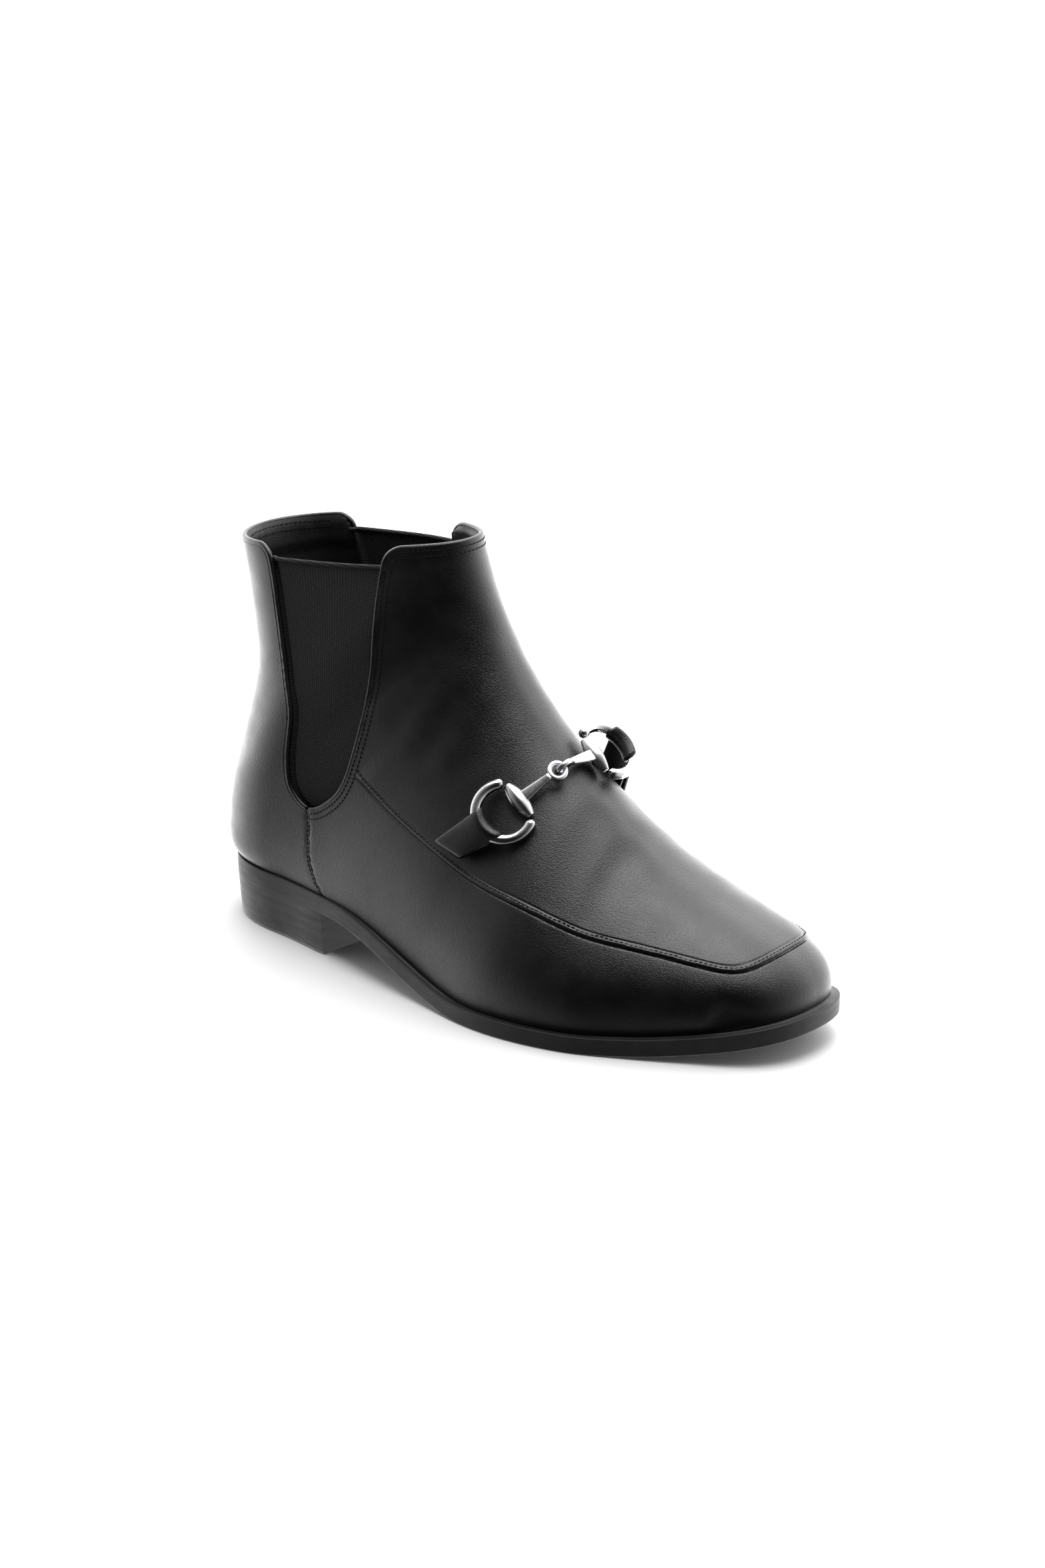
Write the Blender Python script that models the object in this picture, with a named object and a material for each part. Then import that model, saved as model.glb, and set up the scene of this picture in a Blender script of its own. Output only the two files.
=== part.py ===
"""A right flat ankle boot with elastic side gores, an apron seam and a snaffle bit on the vamp.

Every piece of the upper comes from one surface, the last: rows of sections that turn from the toe,
round the heel and up the shaft. Tables are in millimetres, x forward from the heel's back, y to the
left (the inner side of this right boot), z up from the floor.
"""

import math

import bmesh
import bpy
import numpy as np

MM = 0.001

# Driving sizes
SOLE_LENGTH = 256.0
SOLE_THICKNESS = 6.5
HEEL_HEIGHT = 17.5
TOE_SPRING = 11.5
WALL = 1.8
GAP = 0.3

# The sole's side view: flat on the floor between these two places, the heel's breast further back
TREAD_BACK = 141.0
TREAD_FRONT = 182.0
BREAST = 66.0
BREAST_SLANT = math.radians(8)

# The last. base is a section's lowest or rearmost point in side view, crest its highest or foremost
# point, and centre the y of the line between them. Half widths from that line are at the base, low
# (0.3 of the way to the crest) and high (0.7), to the right (the foot's outer side) and to the left,
# then one at the crest. seam is the share of the way to the crest where the apron's seam lies.
# round and power shape the ridge.
COLUMNS = (
    "base_x", "base_z", "crest_x", "crest_z", "centre",
    "right_base", "right_low", "right_high",
    "left_base", "left_low", "left_high",
    "crest_half", "seam", "round", "power",
)
SECTIONS = {
    "toe_box": (226, 0, 228, 41.5, 6, 32, 34, 29, 27.2, 29, 25, 21, 0.75, 0.60, 3.0),
    "tread": (203, 0, 205, 51, 4, 41.5, 43, 36, 33, 35, 31, 25, 0.695, 0.75, 2.8),
    "ball": (178, 0, 185, 62, 2, 49.5, 50, 40, 34, 36, 34, 27, 0.622, 0.85, 2.6),
    "waist_front": (148, 0, 165, 78, 0, 50.5, 51, 41, 29, 34, 33, 27, 0.583, 0.85, 2.6),
    "waist": (112, 0, 145, 95, 0, 44, 45, 37, 24, 31, 31, 26, 0.512, 0.80, 2.6),
    "seat_front": (75, 0, 131, 111, 0, 37, 38, 33, 26, 31, 30, 26, 0.468, 0.70, 2.5),
    "seat": (37, 0, 122, 125, 0, 29, 33, 31, 28.5, 31, 30, 26, 0.50, 0.60, 2.4),
    "heel_back": (1, 0, 117, 136, 0, 28, 32, 30, 28, 31, 30, 26, 0.52, 0.55, 2.3),
    "counter": (-1.5, 44, 114, 143, 0, 29, 32, 29, 29, 31, 29, 25, 0.53, 0.50, 2.2),
    "ankle": (7, 76, 111.5, 149, 0, 28, 30, 28, 28, 30, 28, 24, 0.54, 0.50, 2.2),
    "achilles": (13, 102, 109.8, 154, 0, 27, 28, 26, 27, 28, 26, 23, 0.54, 0.50, 2.2),
    "shaft": (9.5, 128, 108.8, 158, 0, 25, 26, 24, 25, 26, 24, 22, 0.54, 0.50, 2.2),
    "collar": (5, 148, 107.8, 162, 0, 24, 25, 23.5, 24, 25, 23.5, 22, 0.54, 0.50, 2.2),
}
HEEL_ROW = list(SECTIONS).index("heel_back")
LAST_ROW = len(SECTIONS) - 1
ROW_STEP = 0.1
BACK_ROUND = 34.0
BACK_POWER = 2.2
TOE_TIP = 252.5
TOE_TIP_Y = 8.0
TOE_FACE = 253.0
TOE_PLAN_POWER = 2.1
TOE_SIDE_POWER = 3.0

# The apron: its front edge is the toe section at this turn, its corners cut in by this share of the
# way to the middle, and its seam stands this proud and this wide
APRON_FRONT = 0.72
APRON_CORNER = 0.52
RIDGE_HEIGHT = 1.1
RIDGE_HALF = 1.3

# Side view of a gore's opening: down its rear edge, round the bottom, up its front edge
GORE_EDGE = (
    (24.0, 152.0), (30.5, 149.0), (33.0, 143.0), (37.0, 126.0), (42.0, 105.0), (45.5, 91.0),
    (44.0, 74.0), (45.5, 62.5), (54.0, 56.0), (64.0, 61.0), (71.5, 70.0), (76.5, 86.0),
    (80.0, 106.0), (81.5, 126.0), (82.0, 150.0), (84.5, 157.0), (91.0, 160.5),
)
GORE_TOP = ((20.0, 145.0), (100.0, 153.5))
GORE_THICKNESS = 1.2
GORE_RECESS = 0.5
GORE_FIRST_ROW = 14
CUTTER_TOP = 180.0
CUTTER_FLARE = 4.0
CUTTER_REACH = 60.0

# The sole and heel: how far the sole stands out from the feather line at places along the foot
LEDGE_PLACES = (0.0, 66.0, 105.0, 200.0, 256.0)
LEDGE_WIDTHS = (0.8, 1.2, 2.4, 2.6, 3.2)
EDGE_CURVE = 0.7
EDGE_HEIGHTS = (0.0, 0.3, 0.7, 1.0)
HEEL_TAPER = 1.2
HEEL_EDGE = 0.6
BREAST_CORNER = 3.0
BREAST_FLARE = 0.8
INSOLE_THICKNESS = 2.2
INSOLE_PLAY = 1.6

# The bit lies across the vamp, with its link on this row of the last, to the right of the ridge. The
# right (-1) and left (1) halves slant back by this part of a row for each millimetre out from the link,
# and each ring's centre stands this far off the vamp
LINK_ROW = 3.58
BIT_OFFSET = 11.0
BIT_SLANTS = {-1: 0.009, 1: -0.002}
LINK_RISE = 5.0
RING_RISES = {-1: 4.4, 1: 9.5}
RING_AT = 25.0
LINK_SPAN = 2.0
RING_RADIUS = 10.2
WIRE_RADIUS = 1.75
BARREL_AT = 18.5
BARREL_HALF = 7.0
BARREL_RADIUS = 3.2
BARREL_END = 0.28
BAR_RADII = (2.3, 1.4)
EYE_RADIUS = 2.9
EYE_WIRE = 0.95
RING_OPEN = math.radians(54)
RING_END = 0.6

# The tabs: where each ends, out from the link, and on which row. The end slants by this share of the
# tab's width, and the vamp's rows lie this far apart there
TAB_HALF_WIDTH = 6.0
TAB_ENDS = {-1: 50.0, 1: 58.0}
TAB_ROWS = {-1: 4.2, 1: 3.7}
TAB_CUT = 0.3
ROW_LENGTH = 28.0
TAB_LEATHER = 1.3
TAB_SEWN = 6.0
TAB_LIFT = 0.4
TAB_FOLD_SHARE = 0.75
SLOT_PLAY = 0.45


def sole_bottom(x):
    """Height of the sole's underside at x."""
    rise = np.clip((TREAD_BACK - x) / (TREAD_BACK - BREAST), 0, 1)
    arch = HEEL_HEIGHT * rise**2 * (3 - 2 * rise)
    spring = TOE_SPRING * np.clip((x - TREAD_FRONT) / (SOLE_LENGTH - TREAD_FRONT), 0, 1) ** 2
    return arch + spring


def feather_z(x):
    """Height of the feather line, where the upper meets the sole's top."""
    return sole_bottom(x) + SOLE_THICKNESS + GAP


def smooth(values, u):
    """Values of table rows at fractional row u, on a smooth curve through the rows."""
    values = np.asarray(values, float)
    i = min(int(u), len(values) - 2)
    f = u - i
    p1 = values[i]
    p2 = values[i + 1]
    p0 = values[i - 1] if i > 0 else 2 * p1 - p2
    p3 = values[i + 2] if i + 2 < len(values) else 2 * p2 - p1
    bend = 2 * p0 - 5 * p1 + 4 * p2 - p3
    twist = 3 * p1 - p0 - 3 * p2 + p3
    return 0.5 * (2 * p1 + (p2 - p0) * f + bend * f**2 + twist * f**3)


TABLE = np.array(list(SECTIONS.values()), float)
TABLE[: HEEL_ROW + 1, 1] = feather_z(TABLE[: HEEL_ROW + 1, 0])


def row_at(u):
    """The section's columns at fractional row u, by name."""
    row = dict(zip(COLUMNS, smooth(TABLE, u)))
    if u <= HEEL_ROW:
        row["base_z"] = feather_z(row["base_x"])
    return row


def rounded(share, power):
    """Rises from 0 at an edge to 1 where share reaches 1, along a quarter of a superellipse."""
    share = np.clip(share, 0, 1)
    return (1 - (1 - share) ** power) ** (1 / power)


def through(widths, h):
    """The cubic through four half widths at h = 0, 0.3, 0.7 and 1."""
    places = (0, 0.3, 0.7, 1)
    total = np.zeros_like(h)
    for place, width in zip(places, widths):
        term = np.full_like(h, width)
        for other in places:
            if other != place:
                term = term * (h - other) / (place - other)
        total = total + term
    return total


BACK_ROWS = [row_at(u) for u in np.linspace(HEEL_ROW, LAST_ROW, 60)]


def back_x(z):
    """How far forward the back of the boot is at height z."""
    return np.interp(z, [row["base_z"] for row in BACK_ROWS], [row["base_x"] for row in BACK_ROWS])


def section(u, h, side):
    """Points of one half section, base to crest; side is -1 on the right and 1 on the left."""
    row = row_at(u)
    name = "right" if side < 0 else "left"
    widths = [row[f"{name}_{place}"] for place in ("base", "low", "high")] + [row["crest_half"]]
    x = row["base_x"] + (row["crest_x"] - row["base_x"]) * h
    z = row["base_z"] + (row["crest_z"] - row["base_z"]) * h
    half = through(widths, h) * rounded((1 - h) / row["round"], row["power"])
    from_back = x - back_x(z)
    if u >= HEEL_ROW:
        from_back = from_back - from_back[0] * (1 - h)
    half *= rounded(from_back / BACK_ROUND, BACK_POWER)
    return np.stack([x, row["centre"] + side * half, z], axis=-1)


def narrowing(h, side):
    """How fast the toe box row's half widths shrink for each millimetre forward."""
    first = section(0, h, side)
    behind = section(ROW_STEP, h, side)
    shift = row_at(ROW_STEP)["centre"] - row_at(0)["centre"]
    return side * (behind[:, 1] - shift - first[:, 1]) / (first[:, 0] - behind[:, 0])


def toe_section(turn, h, side):
    """A half section of the toe: turn 1 is the toe box row, 0 lies along the feather line to the tip."""
    row = row_at(0)
    behind = row_at(1)
    corner = np.array([row["base_x"], row["base_z"]])
    crest = np.array([row["crest_x"], row["crest_z"]])
    tip = np.array([TOE_TIP, feather_z(TOE_TIP)])
    fall = (row["crest_z"] - behind["crest_z"]) / (row["crest_x"] - behind["crest_x"])
    face = np.array([TOE_FACE, row["crest_z"] + fall * (TOE_FACE - row["crest_x"])])
    c = math.cos(turn * math.pi / 2)
    s = math.sin(turn * math.pi / 2)
    size = (c**TOE_SIDE_POWER + s**TOE_SIDE_POWER) ** (-1 / TOE_SIDE_POWER)
    reach = crest + tip - face + size * (c * (face - crest) + s * (face - tip)) - corner
    upright = side * (section(0, h, side)[:, 1] - row["centre"])
    taper = narrowing(h, side) * (TOE_FACE - row["crest_x"])
    base_half = row["right_base"] if side < 0 else row["left_base"]
    base_taper = narrowing(np.zeros(1), side) * (TOE_TIP - row["base_x"])
    flat = base_half * (1 - h**TOE_PLAN_POWER) ** (1 / TOE_PLAN_POWER) - base_taper * h * (1 - h)
    half = c**2 * flat + s**2 * upright - c * s * h * taper
    centre = row["centre"] + (TOE_TIP_Y - row["centre"]) * h * c
    along = corner + h[:, None] * reach
    return np.stack([along[:, 0], centre + side * np.maximum(half, 0), along[:, 1]], axis=-1)


SAMPLES = np.linspace(0, 1, 161)
RIDGE_SAMPLES = 1 - np.linspace(1, 0, 161) ** 2
LOW_SPACING = 1.25
HIGH_SPACING = 1.4
COLLAPSED = 0.05


def spaced(points, seam_at, half_ridge, side_count, top_count):
    """A half section resampled by length, closer at its ends: feather line, seam, crest."""
    steps = np.linalg.norm(np.diff(points, axis=0), axis=1)
    length = np.concatenate([[0], np.cumsum(steps)])
    seam = np.interp(seam_at, SAMPLES, length)
    low = (seam - half_ridge) * np.linspace(0, 1, side_count + 1) ** LOW_SPACING
    top = seam + half_ridge
    high = length[-1] - (length[-1] - top) * np.linspace(1, 0, top_count + 1) ** HIGH_SPACING
    places = np.concatenate([low, [seam], high])
    return np.stack([np.interp(places, length, points[:, k]) for k in range(3)], axis=-1)


def corner_share(turn):
    """How far the seam has turned in towards the middle, 0 on the sides to 1 at the apron's front."""
    t = np.clip((1 - turn) / (1 - APRON_FRONT), 0, 1)
    return (t + 1 - math.sqrt(1 - t**2)) / 2


def last_grid(turns, rows, side_count, top_count):
    """Points of the last, a line for each turn of the toe and each row, right feather to left."""
    lines = []
    for turn in turns:
        seam = row_at(0)["seam"]
        seam += (1 - seam) * APRON_CORNER * corner_share(turn)
        halves = [toe_section(turn, SAMPLES, side) for side in (-1, 1)]
        lines.append([spaced(half, seam, RIDGE_HALF, side_count, top_count) for half in halves])
    for u in rows:
        halves = [section(u, SAMPLES, side) for side in (-1, 1)]
        seam = row_at(u)["seam"]
        lines.append([spaced(half, seam, RIDGE_HALF, side_count, top_count) for half in halves])
    return np.array([np.concatenate([right, left[::-1][1:]]) for right, left in lines])


def outward(grid, closed_from):
    """Unit normals of a last grid, level at the feather line; lines from closed_from on are loops."""
    along = np.gradient(grid, axis=0)
    across = np.gradient(grid, axis=1)
    across[closed_from:, 0] = grid[closed_from:, 1] - grid[closed_from:, -2]
    across[closed_from:, -1] = across[closed_from:, 0]
    along[closed_from:, -1] = along[closed_from:, 0]
    normal = np.cross(across, along)
    for line in range(closed_from):
        for end, inner in ((0, 1), (-1, -2)):
            if np.linalg.norm(along[line, end]) < COLLAPSED:
                normal[line, end] = normal[line, inner]
    for edge in (normal[0], normal[: closed_from + 1, 0], normal[: closed_from + 1, -1]):
        edge[:, 2] = 0
    normal /= np.linalg.norm(normal, axis=2, keepdims=True)
    return normal


RIDGE_TURN = 0.06
TOE_TURNS = (
    0, 0.13, 0.26, 0.39, 0.53,
    APRON_FRONT - RIDGE_TURN, APRON_FRONT, APRON_FRONT + RIDGE_TURN,
    0.85, 0.93,
)
APRON_LINE = TOE_TURNS.index(APRON_FRONT)
FOOT_ROWS = np.concatenate([np.arange(0, 6, 0.25), [6, 6.3, 6.55, 6.75, 6.88, 6.96]])
SHAFT_ROWS = np.arange(HEEL_ROW, LAST_ROW + 0.01, 0.5)
SEAM_END_ROW = 6.1
SIDE_COUNT = 4
TOP_COUNT = 6
SEAM_COLUMN = SIDE_COUNT + 1
GRID = last_grid(TOE_TURNS, np.concatenate([FOOT_ROWS, SHAFT_ROWS]), SIDE_COUNT, TOP_COUNT)
FIRST_LOOP = len(TOE_TURNS) + len(FOOT_ROWS)
NORMALS = outward(GRID, FIRST_LOOP)


def material(name, colour, roughness, metallic=0.0):
    """A Principled material."""
    made = bpy.data.materials.new(name)
    made.use_nodes = True
    shader = made.node_tree.nodes["Principled BSDF"]
    shader.inputs["Base Color"].default_value = (*colour, 1)
    shader.inputs["Roughness"].default_value = roughness
    shader.inputs["Metallic"].default_value = metallic
    return made


def solid(name, points, faces, finish, smooth_angle=40):
    """An object from points in millimetres; coincident points are joined and collapsed faces left out."""
    index = {}
    joined = []
    numbers = []
    for point in np.asarray(points, float):
        key = tuple(np.round(point, 3))
        if key not in index:
            index[key] = len(joined)
            joined.append(point * MM)
        numbers.append(index[key])
    kept = []
    for face in faces:
        corners = []
        for corner in face:
            if numbers[corner] not in corners:
                corners.append(numbers[corner])
        if len(corners) > 2:
            kept.append(corners)
    mesh = bpy.data.meshes.new(name)
    mesh.from_pydata([tuple(point) for point in joined], [], kept)
    work = bmesh.new()
    work.from_mesh(mesh)
    bmesh.ops.recalc_face_normals(work, faces=work.faces)
    bmesh.ops.triangulate(work, faces=[face for face in work.faces if len(face.verts) > 3])
    work.to_mesh(mesh)
    work.free()
    mesh.shade_smooth()
    mesh.set_sharp_from_angle(angle=math.radians(smooth_angle))
    made = bpy.data.objects.new(name, mesh)
    bpy.context.scene.collection.objects.link(made)
    if finish:
        mesh.materials.append(finish)
    return made


def cutter(name, points, faces):
    """A solid that only cuts others."""
    made = solid(name, points, faces, None)
    made.hide_render = True
    made.display_type = "WIRE"
    return made


def cut(target, tool, operation="DIFFERENCE"):
    """Adds an exact Boolean to target."""
    modifier = target.modifiers.new(tool.name, "BOOLEAN")
    modifier.operation = operation
    modifier.object = tool
    modifier.solver = "EXACT"


def sheet_faces(lines, count, start=0):
    """Quads of a grid of lines with count points each."""
    faces = []
    for i in range(lines - 1):
        for j in range(count - 1):
            a = start + i * count + j
            faces.append((a, a + 1, a + count + 1, a + count))
    return faces


def lofted(rings):
    """Points and faces of a closed solid through rings of equal length, capped at both ends."""
    count = len(rings[0])
    faces = []
    for i in range(len(rings) - 1):
        for j in range(count):
            k = (j + 1) % count
            faces.append((i * count + j, i * count + k, (i + 1) * count + k, (i + 1) * count + j))
    last = (len(rings) - 1) * count
    faces.append(tuple(range(count))[::-1])
    faces.append(tuple(range(last, last + count)))
    return np.concatenate(rings), faces


def slab(outer, inner):
    """Points and faces of a sheet with thickness between two grids, with all four edges closed."""
    lines, count = outer.shape[:2]
    size = lines * count
    faces = sheet_faces(lines, count) + sheet_faces(lines, count, size)
    rim = [(0, j) for j in range(count)]
    rim += [(i, count - 1) for i in range(1, lines)]
    rim += [(lines - 1, j) for j in range(count - 2, -1, -1)]
    rim += [(i, 0) for i in range(lines - 2, 0, -1)]
    numbers = [i * count + j for i, j in rim]
    for a, b in zip(numbers, numbers[1:] + numbers[:1]):
        faces.append((a, b, b + size, a + size))
    return np.concatenate([outer.reshape(-1, 3), inner.reshape(-1, 3)]), faces


def curve_through(points, steps):
    """A smooth open curve through points, with so many steps between each two."""
    count = (len(points) - 1) * steps + 1
    return np.array([smooth(points, u) for u in np.linspace(0, len(points) - 1, count)])


def gore_outline(shrink):
    """Closed side-view outline of a gore's opening, drawn in by shrink, up past the collar."""
    edge = curve_through(GORE_EDGE, 3)
    step = np.gradient(edge, axis=0)
    inward = np.stack([-step[:, 1], step[:, 0]], axis=1)
    inward /= np.linalg.norm(inward, axis=1, keepdims=True)
    edge = edge + shrink * inward
    if shrink:
        places, heights = zip(*GORE_TOP)
        edge = edge[edge[:, 1] < np.interp(edge[:, 0], places, heights)]
        rear, front = edge[0, 0], edge[-1, 0]
        tops = [(x, np.interp(x, places, heights)) for x in (rear, front)]
        return np.concatenate([tops[:1], edge, tops[1:]])
    rear = (edge[0, 0] - CUTTER_FLARE, CUTTER_TOP)
    front = (edge[-1, 0] + CUTTER_FLARE, CUTTER_TOP)
    return np.concatenate([[rear], edge, [front]])


def side_prism(outline, side):
    """Points and faces of a side-view outline drawn out from the middle of the boot to one side."""
    rings = [np.insert(outline, 1, y, axis=1) for y in (0.0, side * CUTTER_REACH)]
    return lofted(rings)


def build_upper(leather):
    """The leather upper: one wall, open at the collar and underneath, with both gore openings."""
    raised = GRID.copy()
    lines, count = GRID.shape[:2]
    seam_end = len(TOE_TURNS) + int(np.searchsorted(FOOT_ROWS, SEAM_END_ROW))
    for j in (SEAM_COLUMN, count - 1 - SEAM_COLUMN):
        raised[APRON_LINE:seam_end, j] += RIDGE_HEIGHT * NORMALS[APRON_LINE:seam_end, j]
    front = slice(SEAM_COLUMN + 1, count - 1 - SEAM_COLUMN)
    raised[APRON_LINE, front] += RIDGE_HEIGHT * NORMALS[APRON_LINE, front]
    inner = GRID - WALL * NORMALS
    size = lines * count
    faces = sheet_faces(lines, count) + sheet_faces(lines, count, size)
    rim = [(0, j) for j in range(count)] + [(i, count - 1) for i in range(1, FIRST_LOOP + 1)]
    bottom = [i * count + j for i, j in rim]
    right = [i * count for i in range(FIRST_LOOP + 1)]
    collar = [(lines - 1) * count + j for j in range(count)]
    for edge in (bottom, right, collar):
        for a, b in zip(edge, edge[1:]):
            faces.append((a, b, b + size, a + size))
    points = np.concatenate([raised.reshape(-1, 3), inner.reshape(-1, 3)])
    upper = solid("upper", points, faces, leather, smooth_angle=50)
    for name, side in (("right", -1), ("left", 1)):
        cut(upper, cutter(f"gore_opening_{name}", *side_prism(gore_outline(0), side)))
    return upper


def build_gores(elastic):
    """The elastic panels: a thinner layer of the same surface, cut a little smaller than the openings."""
    first = len(TOE_TURNS) + GORE_FIRST_ROW
    middle = GRID.shape[1] // 2
    for name, side in (("right", -1), ("left", 1)):
        columns = slice(1, middle) if side < 0 else slice(middle + 1, -1)
        outer = (GRID - GORE_RECESS * NORMALS)[first:, columns]
        inner = (GRID - (GORE_RECESS + GORE_THICKNESS) * NORMALS)[first:, columns]
        panel = solid(f"gore_{name}", *slab(outer, inner), elastic)
        cut(panel, cutter(f"gore_edge_{name}", *side_prism(gore_outline(GAP), side)), "INTERSECT")


def feather_loop():
    """Closed plan outline of the feather line: right side from the toe to the heel, then the left."""
    sides = []
    for side in (-1, 1):
        toe = toe_section(0, np.sin(np.linspace(1, 0.08, 9) * math.pi / 2), side)
        rows = [*FOOT_ROWS, HEEL_ROW]
        foot = np.array([section(u, SAMPLES[:1], side)[0] for u in rows])
        sides.append(np.concatenate([toe, foot])[:, :2])
    return np.concatenate([sides[0], sides[1][::-1][1:-1]])


LOOP = feather_loop()


def offset_loop(distance):
    """The feather outline moved outwards by distance, a number or one for each point."""
    step = np.roll(LOOP, -1, axis=0) - np.roll(LOOP, 1, axis=0)
    out = np.stack([-step[:, 1], step[:, 0]], axis=1)
    out /= np.linalg.norm(out, axis=1, keepdims=True)
    return LOOP + out * np.broadcast_to(distance, len(LOOP))[:, None]


def plate_rings(offsets, heights):
    """Rings of a plate that follows the foot's side view; each height is added to the sole's underside."""
    rings = []
    for offset, height in zip(offsets, heights):
        plan = offset_loop(offset)
        rings.append(np.column_stack([plan, sole_bottom(LOOP[:, 0]) + height]))
    return rings


def ladder(rings):
    """Points and faces of a plate: its edge through the rings, its two faces rung by rung."""
    points, faces = lofted(rings)
    faces = faces[:-2]
    count = len(rings[0])
    for start in (0, (len(rings) - 1) * count):
        for i in range(count // 2):
            a = start + i
            b = start + (count - i) % count
            faces.append((a, a + 1, start + count - i - 1, b))
    return points, faces


def build_sole(rubber):
    """The outsole: a stitched-down edge, slightly rounded, from toe to heel."""
    ledge = np.interp(LOOP[:, 0], LEDGE_PLACES, LEDGE_WIDTHS)
    offsets = (ledge - EDGE_CURVE, ledge, ledge, ledge - EDGE_CURVE)
    heights = [share * SOLE_THICKNESS for share in EDGE_HEIGHTS]
    return solid("outsole", *ladder(plate_rings(offsets, heights)), rubber)


def build_insole(lining):
    """The insole, inside the upper on the sole."""
    offset = -(WALL + INSOLE_PLAY)
    base = SOLE_THICKNESS + GAP
    rings = plate_rings((offset, offset), (base, base + INSOLE_THICKNESS))
    return solid("insole", *ladder(rings), lining)


def build_heel(rubber):
    """The heel: a block under the sole, flush with its edge, with a slanted straight breast."""
    ledge = LEDGE_WIDTHS[0] - EDGE_CURVE
    slope = math.tan(BREAST_SLANT)
    rings = []
    drawn_in = (0.0, HEEL_TAPER, HEEL_TAPER + HEEL_EDGE)
    for inset, height in zip(drawn_in, (None, HEEL_EDGE, 0.0)):
        plan = offset_loop(ledge - inset)
        keep = LOOP[:, 0] < BREAST + slope * LOOP[:, 1] - BREAST_CORNER
        curve = plan[keep]
        ends = []
        for near, side in ((curve[0], -1), (curve[-1], 1)):
            y = near[1] + side * BREAST_FLARE
            ends.append((BREAST + slope * y, y))
        plan = np.concatenate([[ends[0]], curve, [ends[1]]])
        z = sole_bottom(plan[:, 0]) - GAP if height is None else np.full(len(plan), height)
        rings.append(np.column_stack([plan, z]))
    return solid("heel", *lofted(rings), rubber)


def unit(vector):
    """A vector scaled to length 1."""
    return vector / np.linalg.norm(vector)


class BitFrame:
    """Axes of one half of the bit: out from the link along it, off the vamp, and forward."""

    def __init__(self, side):
        self.side = side
        near, far = [section(LINK_ROW + step, SAMPLES[-1:], side)[0] for step in (-ROW_STEP, ROW_STEP)]
        self.ahead = unit((near - far) * (1, 0, 1))
        across = side * (self.on_vamp(LINK_SPAN, LINK_ROW) - self.on_vamp(-LINK_SPAN, LINK_ROW))
        self.rise = unit(np.cross(self.ahead, across))
        self.across = side * np.cross(self.rise, self.ahead)
        self.link = self.on_vamp(0) + LINK_RISE * self.rise
        outward_step = self.on_vamp(RING_AT + LINK_SPAN) - self.on_vamp(RING_AT - LINK_SPAN)
        normal = unit(side * np.cross(self.ahead, outward_step))
        self.out = unit(self.on_vamp(RING_AT) + RING_RISES[side] * normal - self.link)
        self.forward = unit(self.ahead - self.out * (self.ahead @ self.out))
        self.off = side * np.cross(self.forward, self.out)

    def on_vamp(self, distance, row=None):
        """The vamp's point at a distance outwards from the link, on the bit's own row or another."""
        if row is None:
            row = LINK_ROW + BIT_SLANTS[self.side] * distance
        across = self.side * distance - BIT_OFFSET
        half = section(row, RIDGE_SAMPLES, 1 if across > 0 else -1)[::-1]
        steps = np.linalg.norm(np.diff(half, axis=0), axis=1)
        length = np.concatenate([[0], np.cumsum(steps)])
        return np.array([np.interp(abs(across), length, half[:, k]) for k in range(3)])

    def place(self, local):
        """World points from (out, forward, off) coordinates."""
        local = np.atleast_2d(local)
        return self.link + local @ np.stack([self.out, self.forward, self.off])

    def local(self, point):
        """(out, forward, off) coordinates of a world point."""
        return np.stack([self.out, self.forward, self.off]) @ (point - self.link)


def circle(centre, first, second, radius, sides):
    """A ring of points round centre in the plane of two unit vectors."""
    angles = np.linspace(0, 2 * math.pi, sides, endpoint=False)
    return centre + radius * (np.cos(angles)[:, None] * first + np.sin(angles)[:, None] * second)


def tube(path, radii, spare, sides=10):
    """Points and faces of a round bar along a path; spare is a direction that the path never takes."""
    path = np.asarray(path, float)
    radii = np.broadcast_to(radii, len(path))
    rings = []
    for centre, step, radius in zip(path, np.gradient(path, axis=0), radii):
        first = np.cross(step, spare)
        first /= np.linalg.norm(first)
        second = np.cross(step, first)
        second /= np.linalg.norm(second)
        rings.append(circle(centre, first, second, radius, sides))
    return lofted(rings)


def torus(centre, first, second, radius, wire, around=18, sides=8):
    """Points and faces of an eye round centre, in the plane of two unit vectors."""
    axis = np.cross(first, second)
    rings = []
    for angle in np.linspace(0, 2 * math.pi, around, endpoint=False):
        ray = math.cos(angle) * first + math.sin(angle) * second
        rings.append(circle(centre + radius * ray, ray, axis, wire, sides))
    points, faces = lofted(rings)
    faces = faces[:-2]
    last = (around - 1) * sides
    for j in range(sides):
        k = (j + 1) % sides
        faces.append((last + j, last + k, k, j))
    return points, faces


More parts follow.
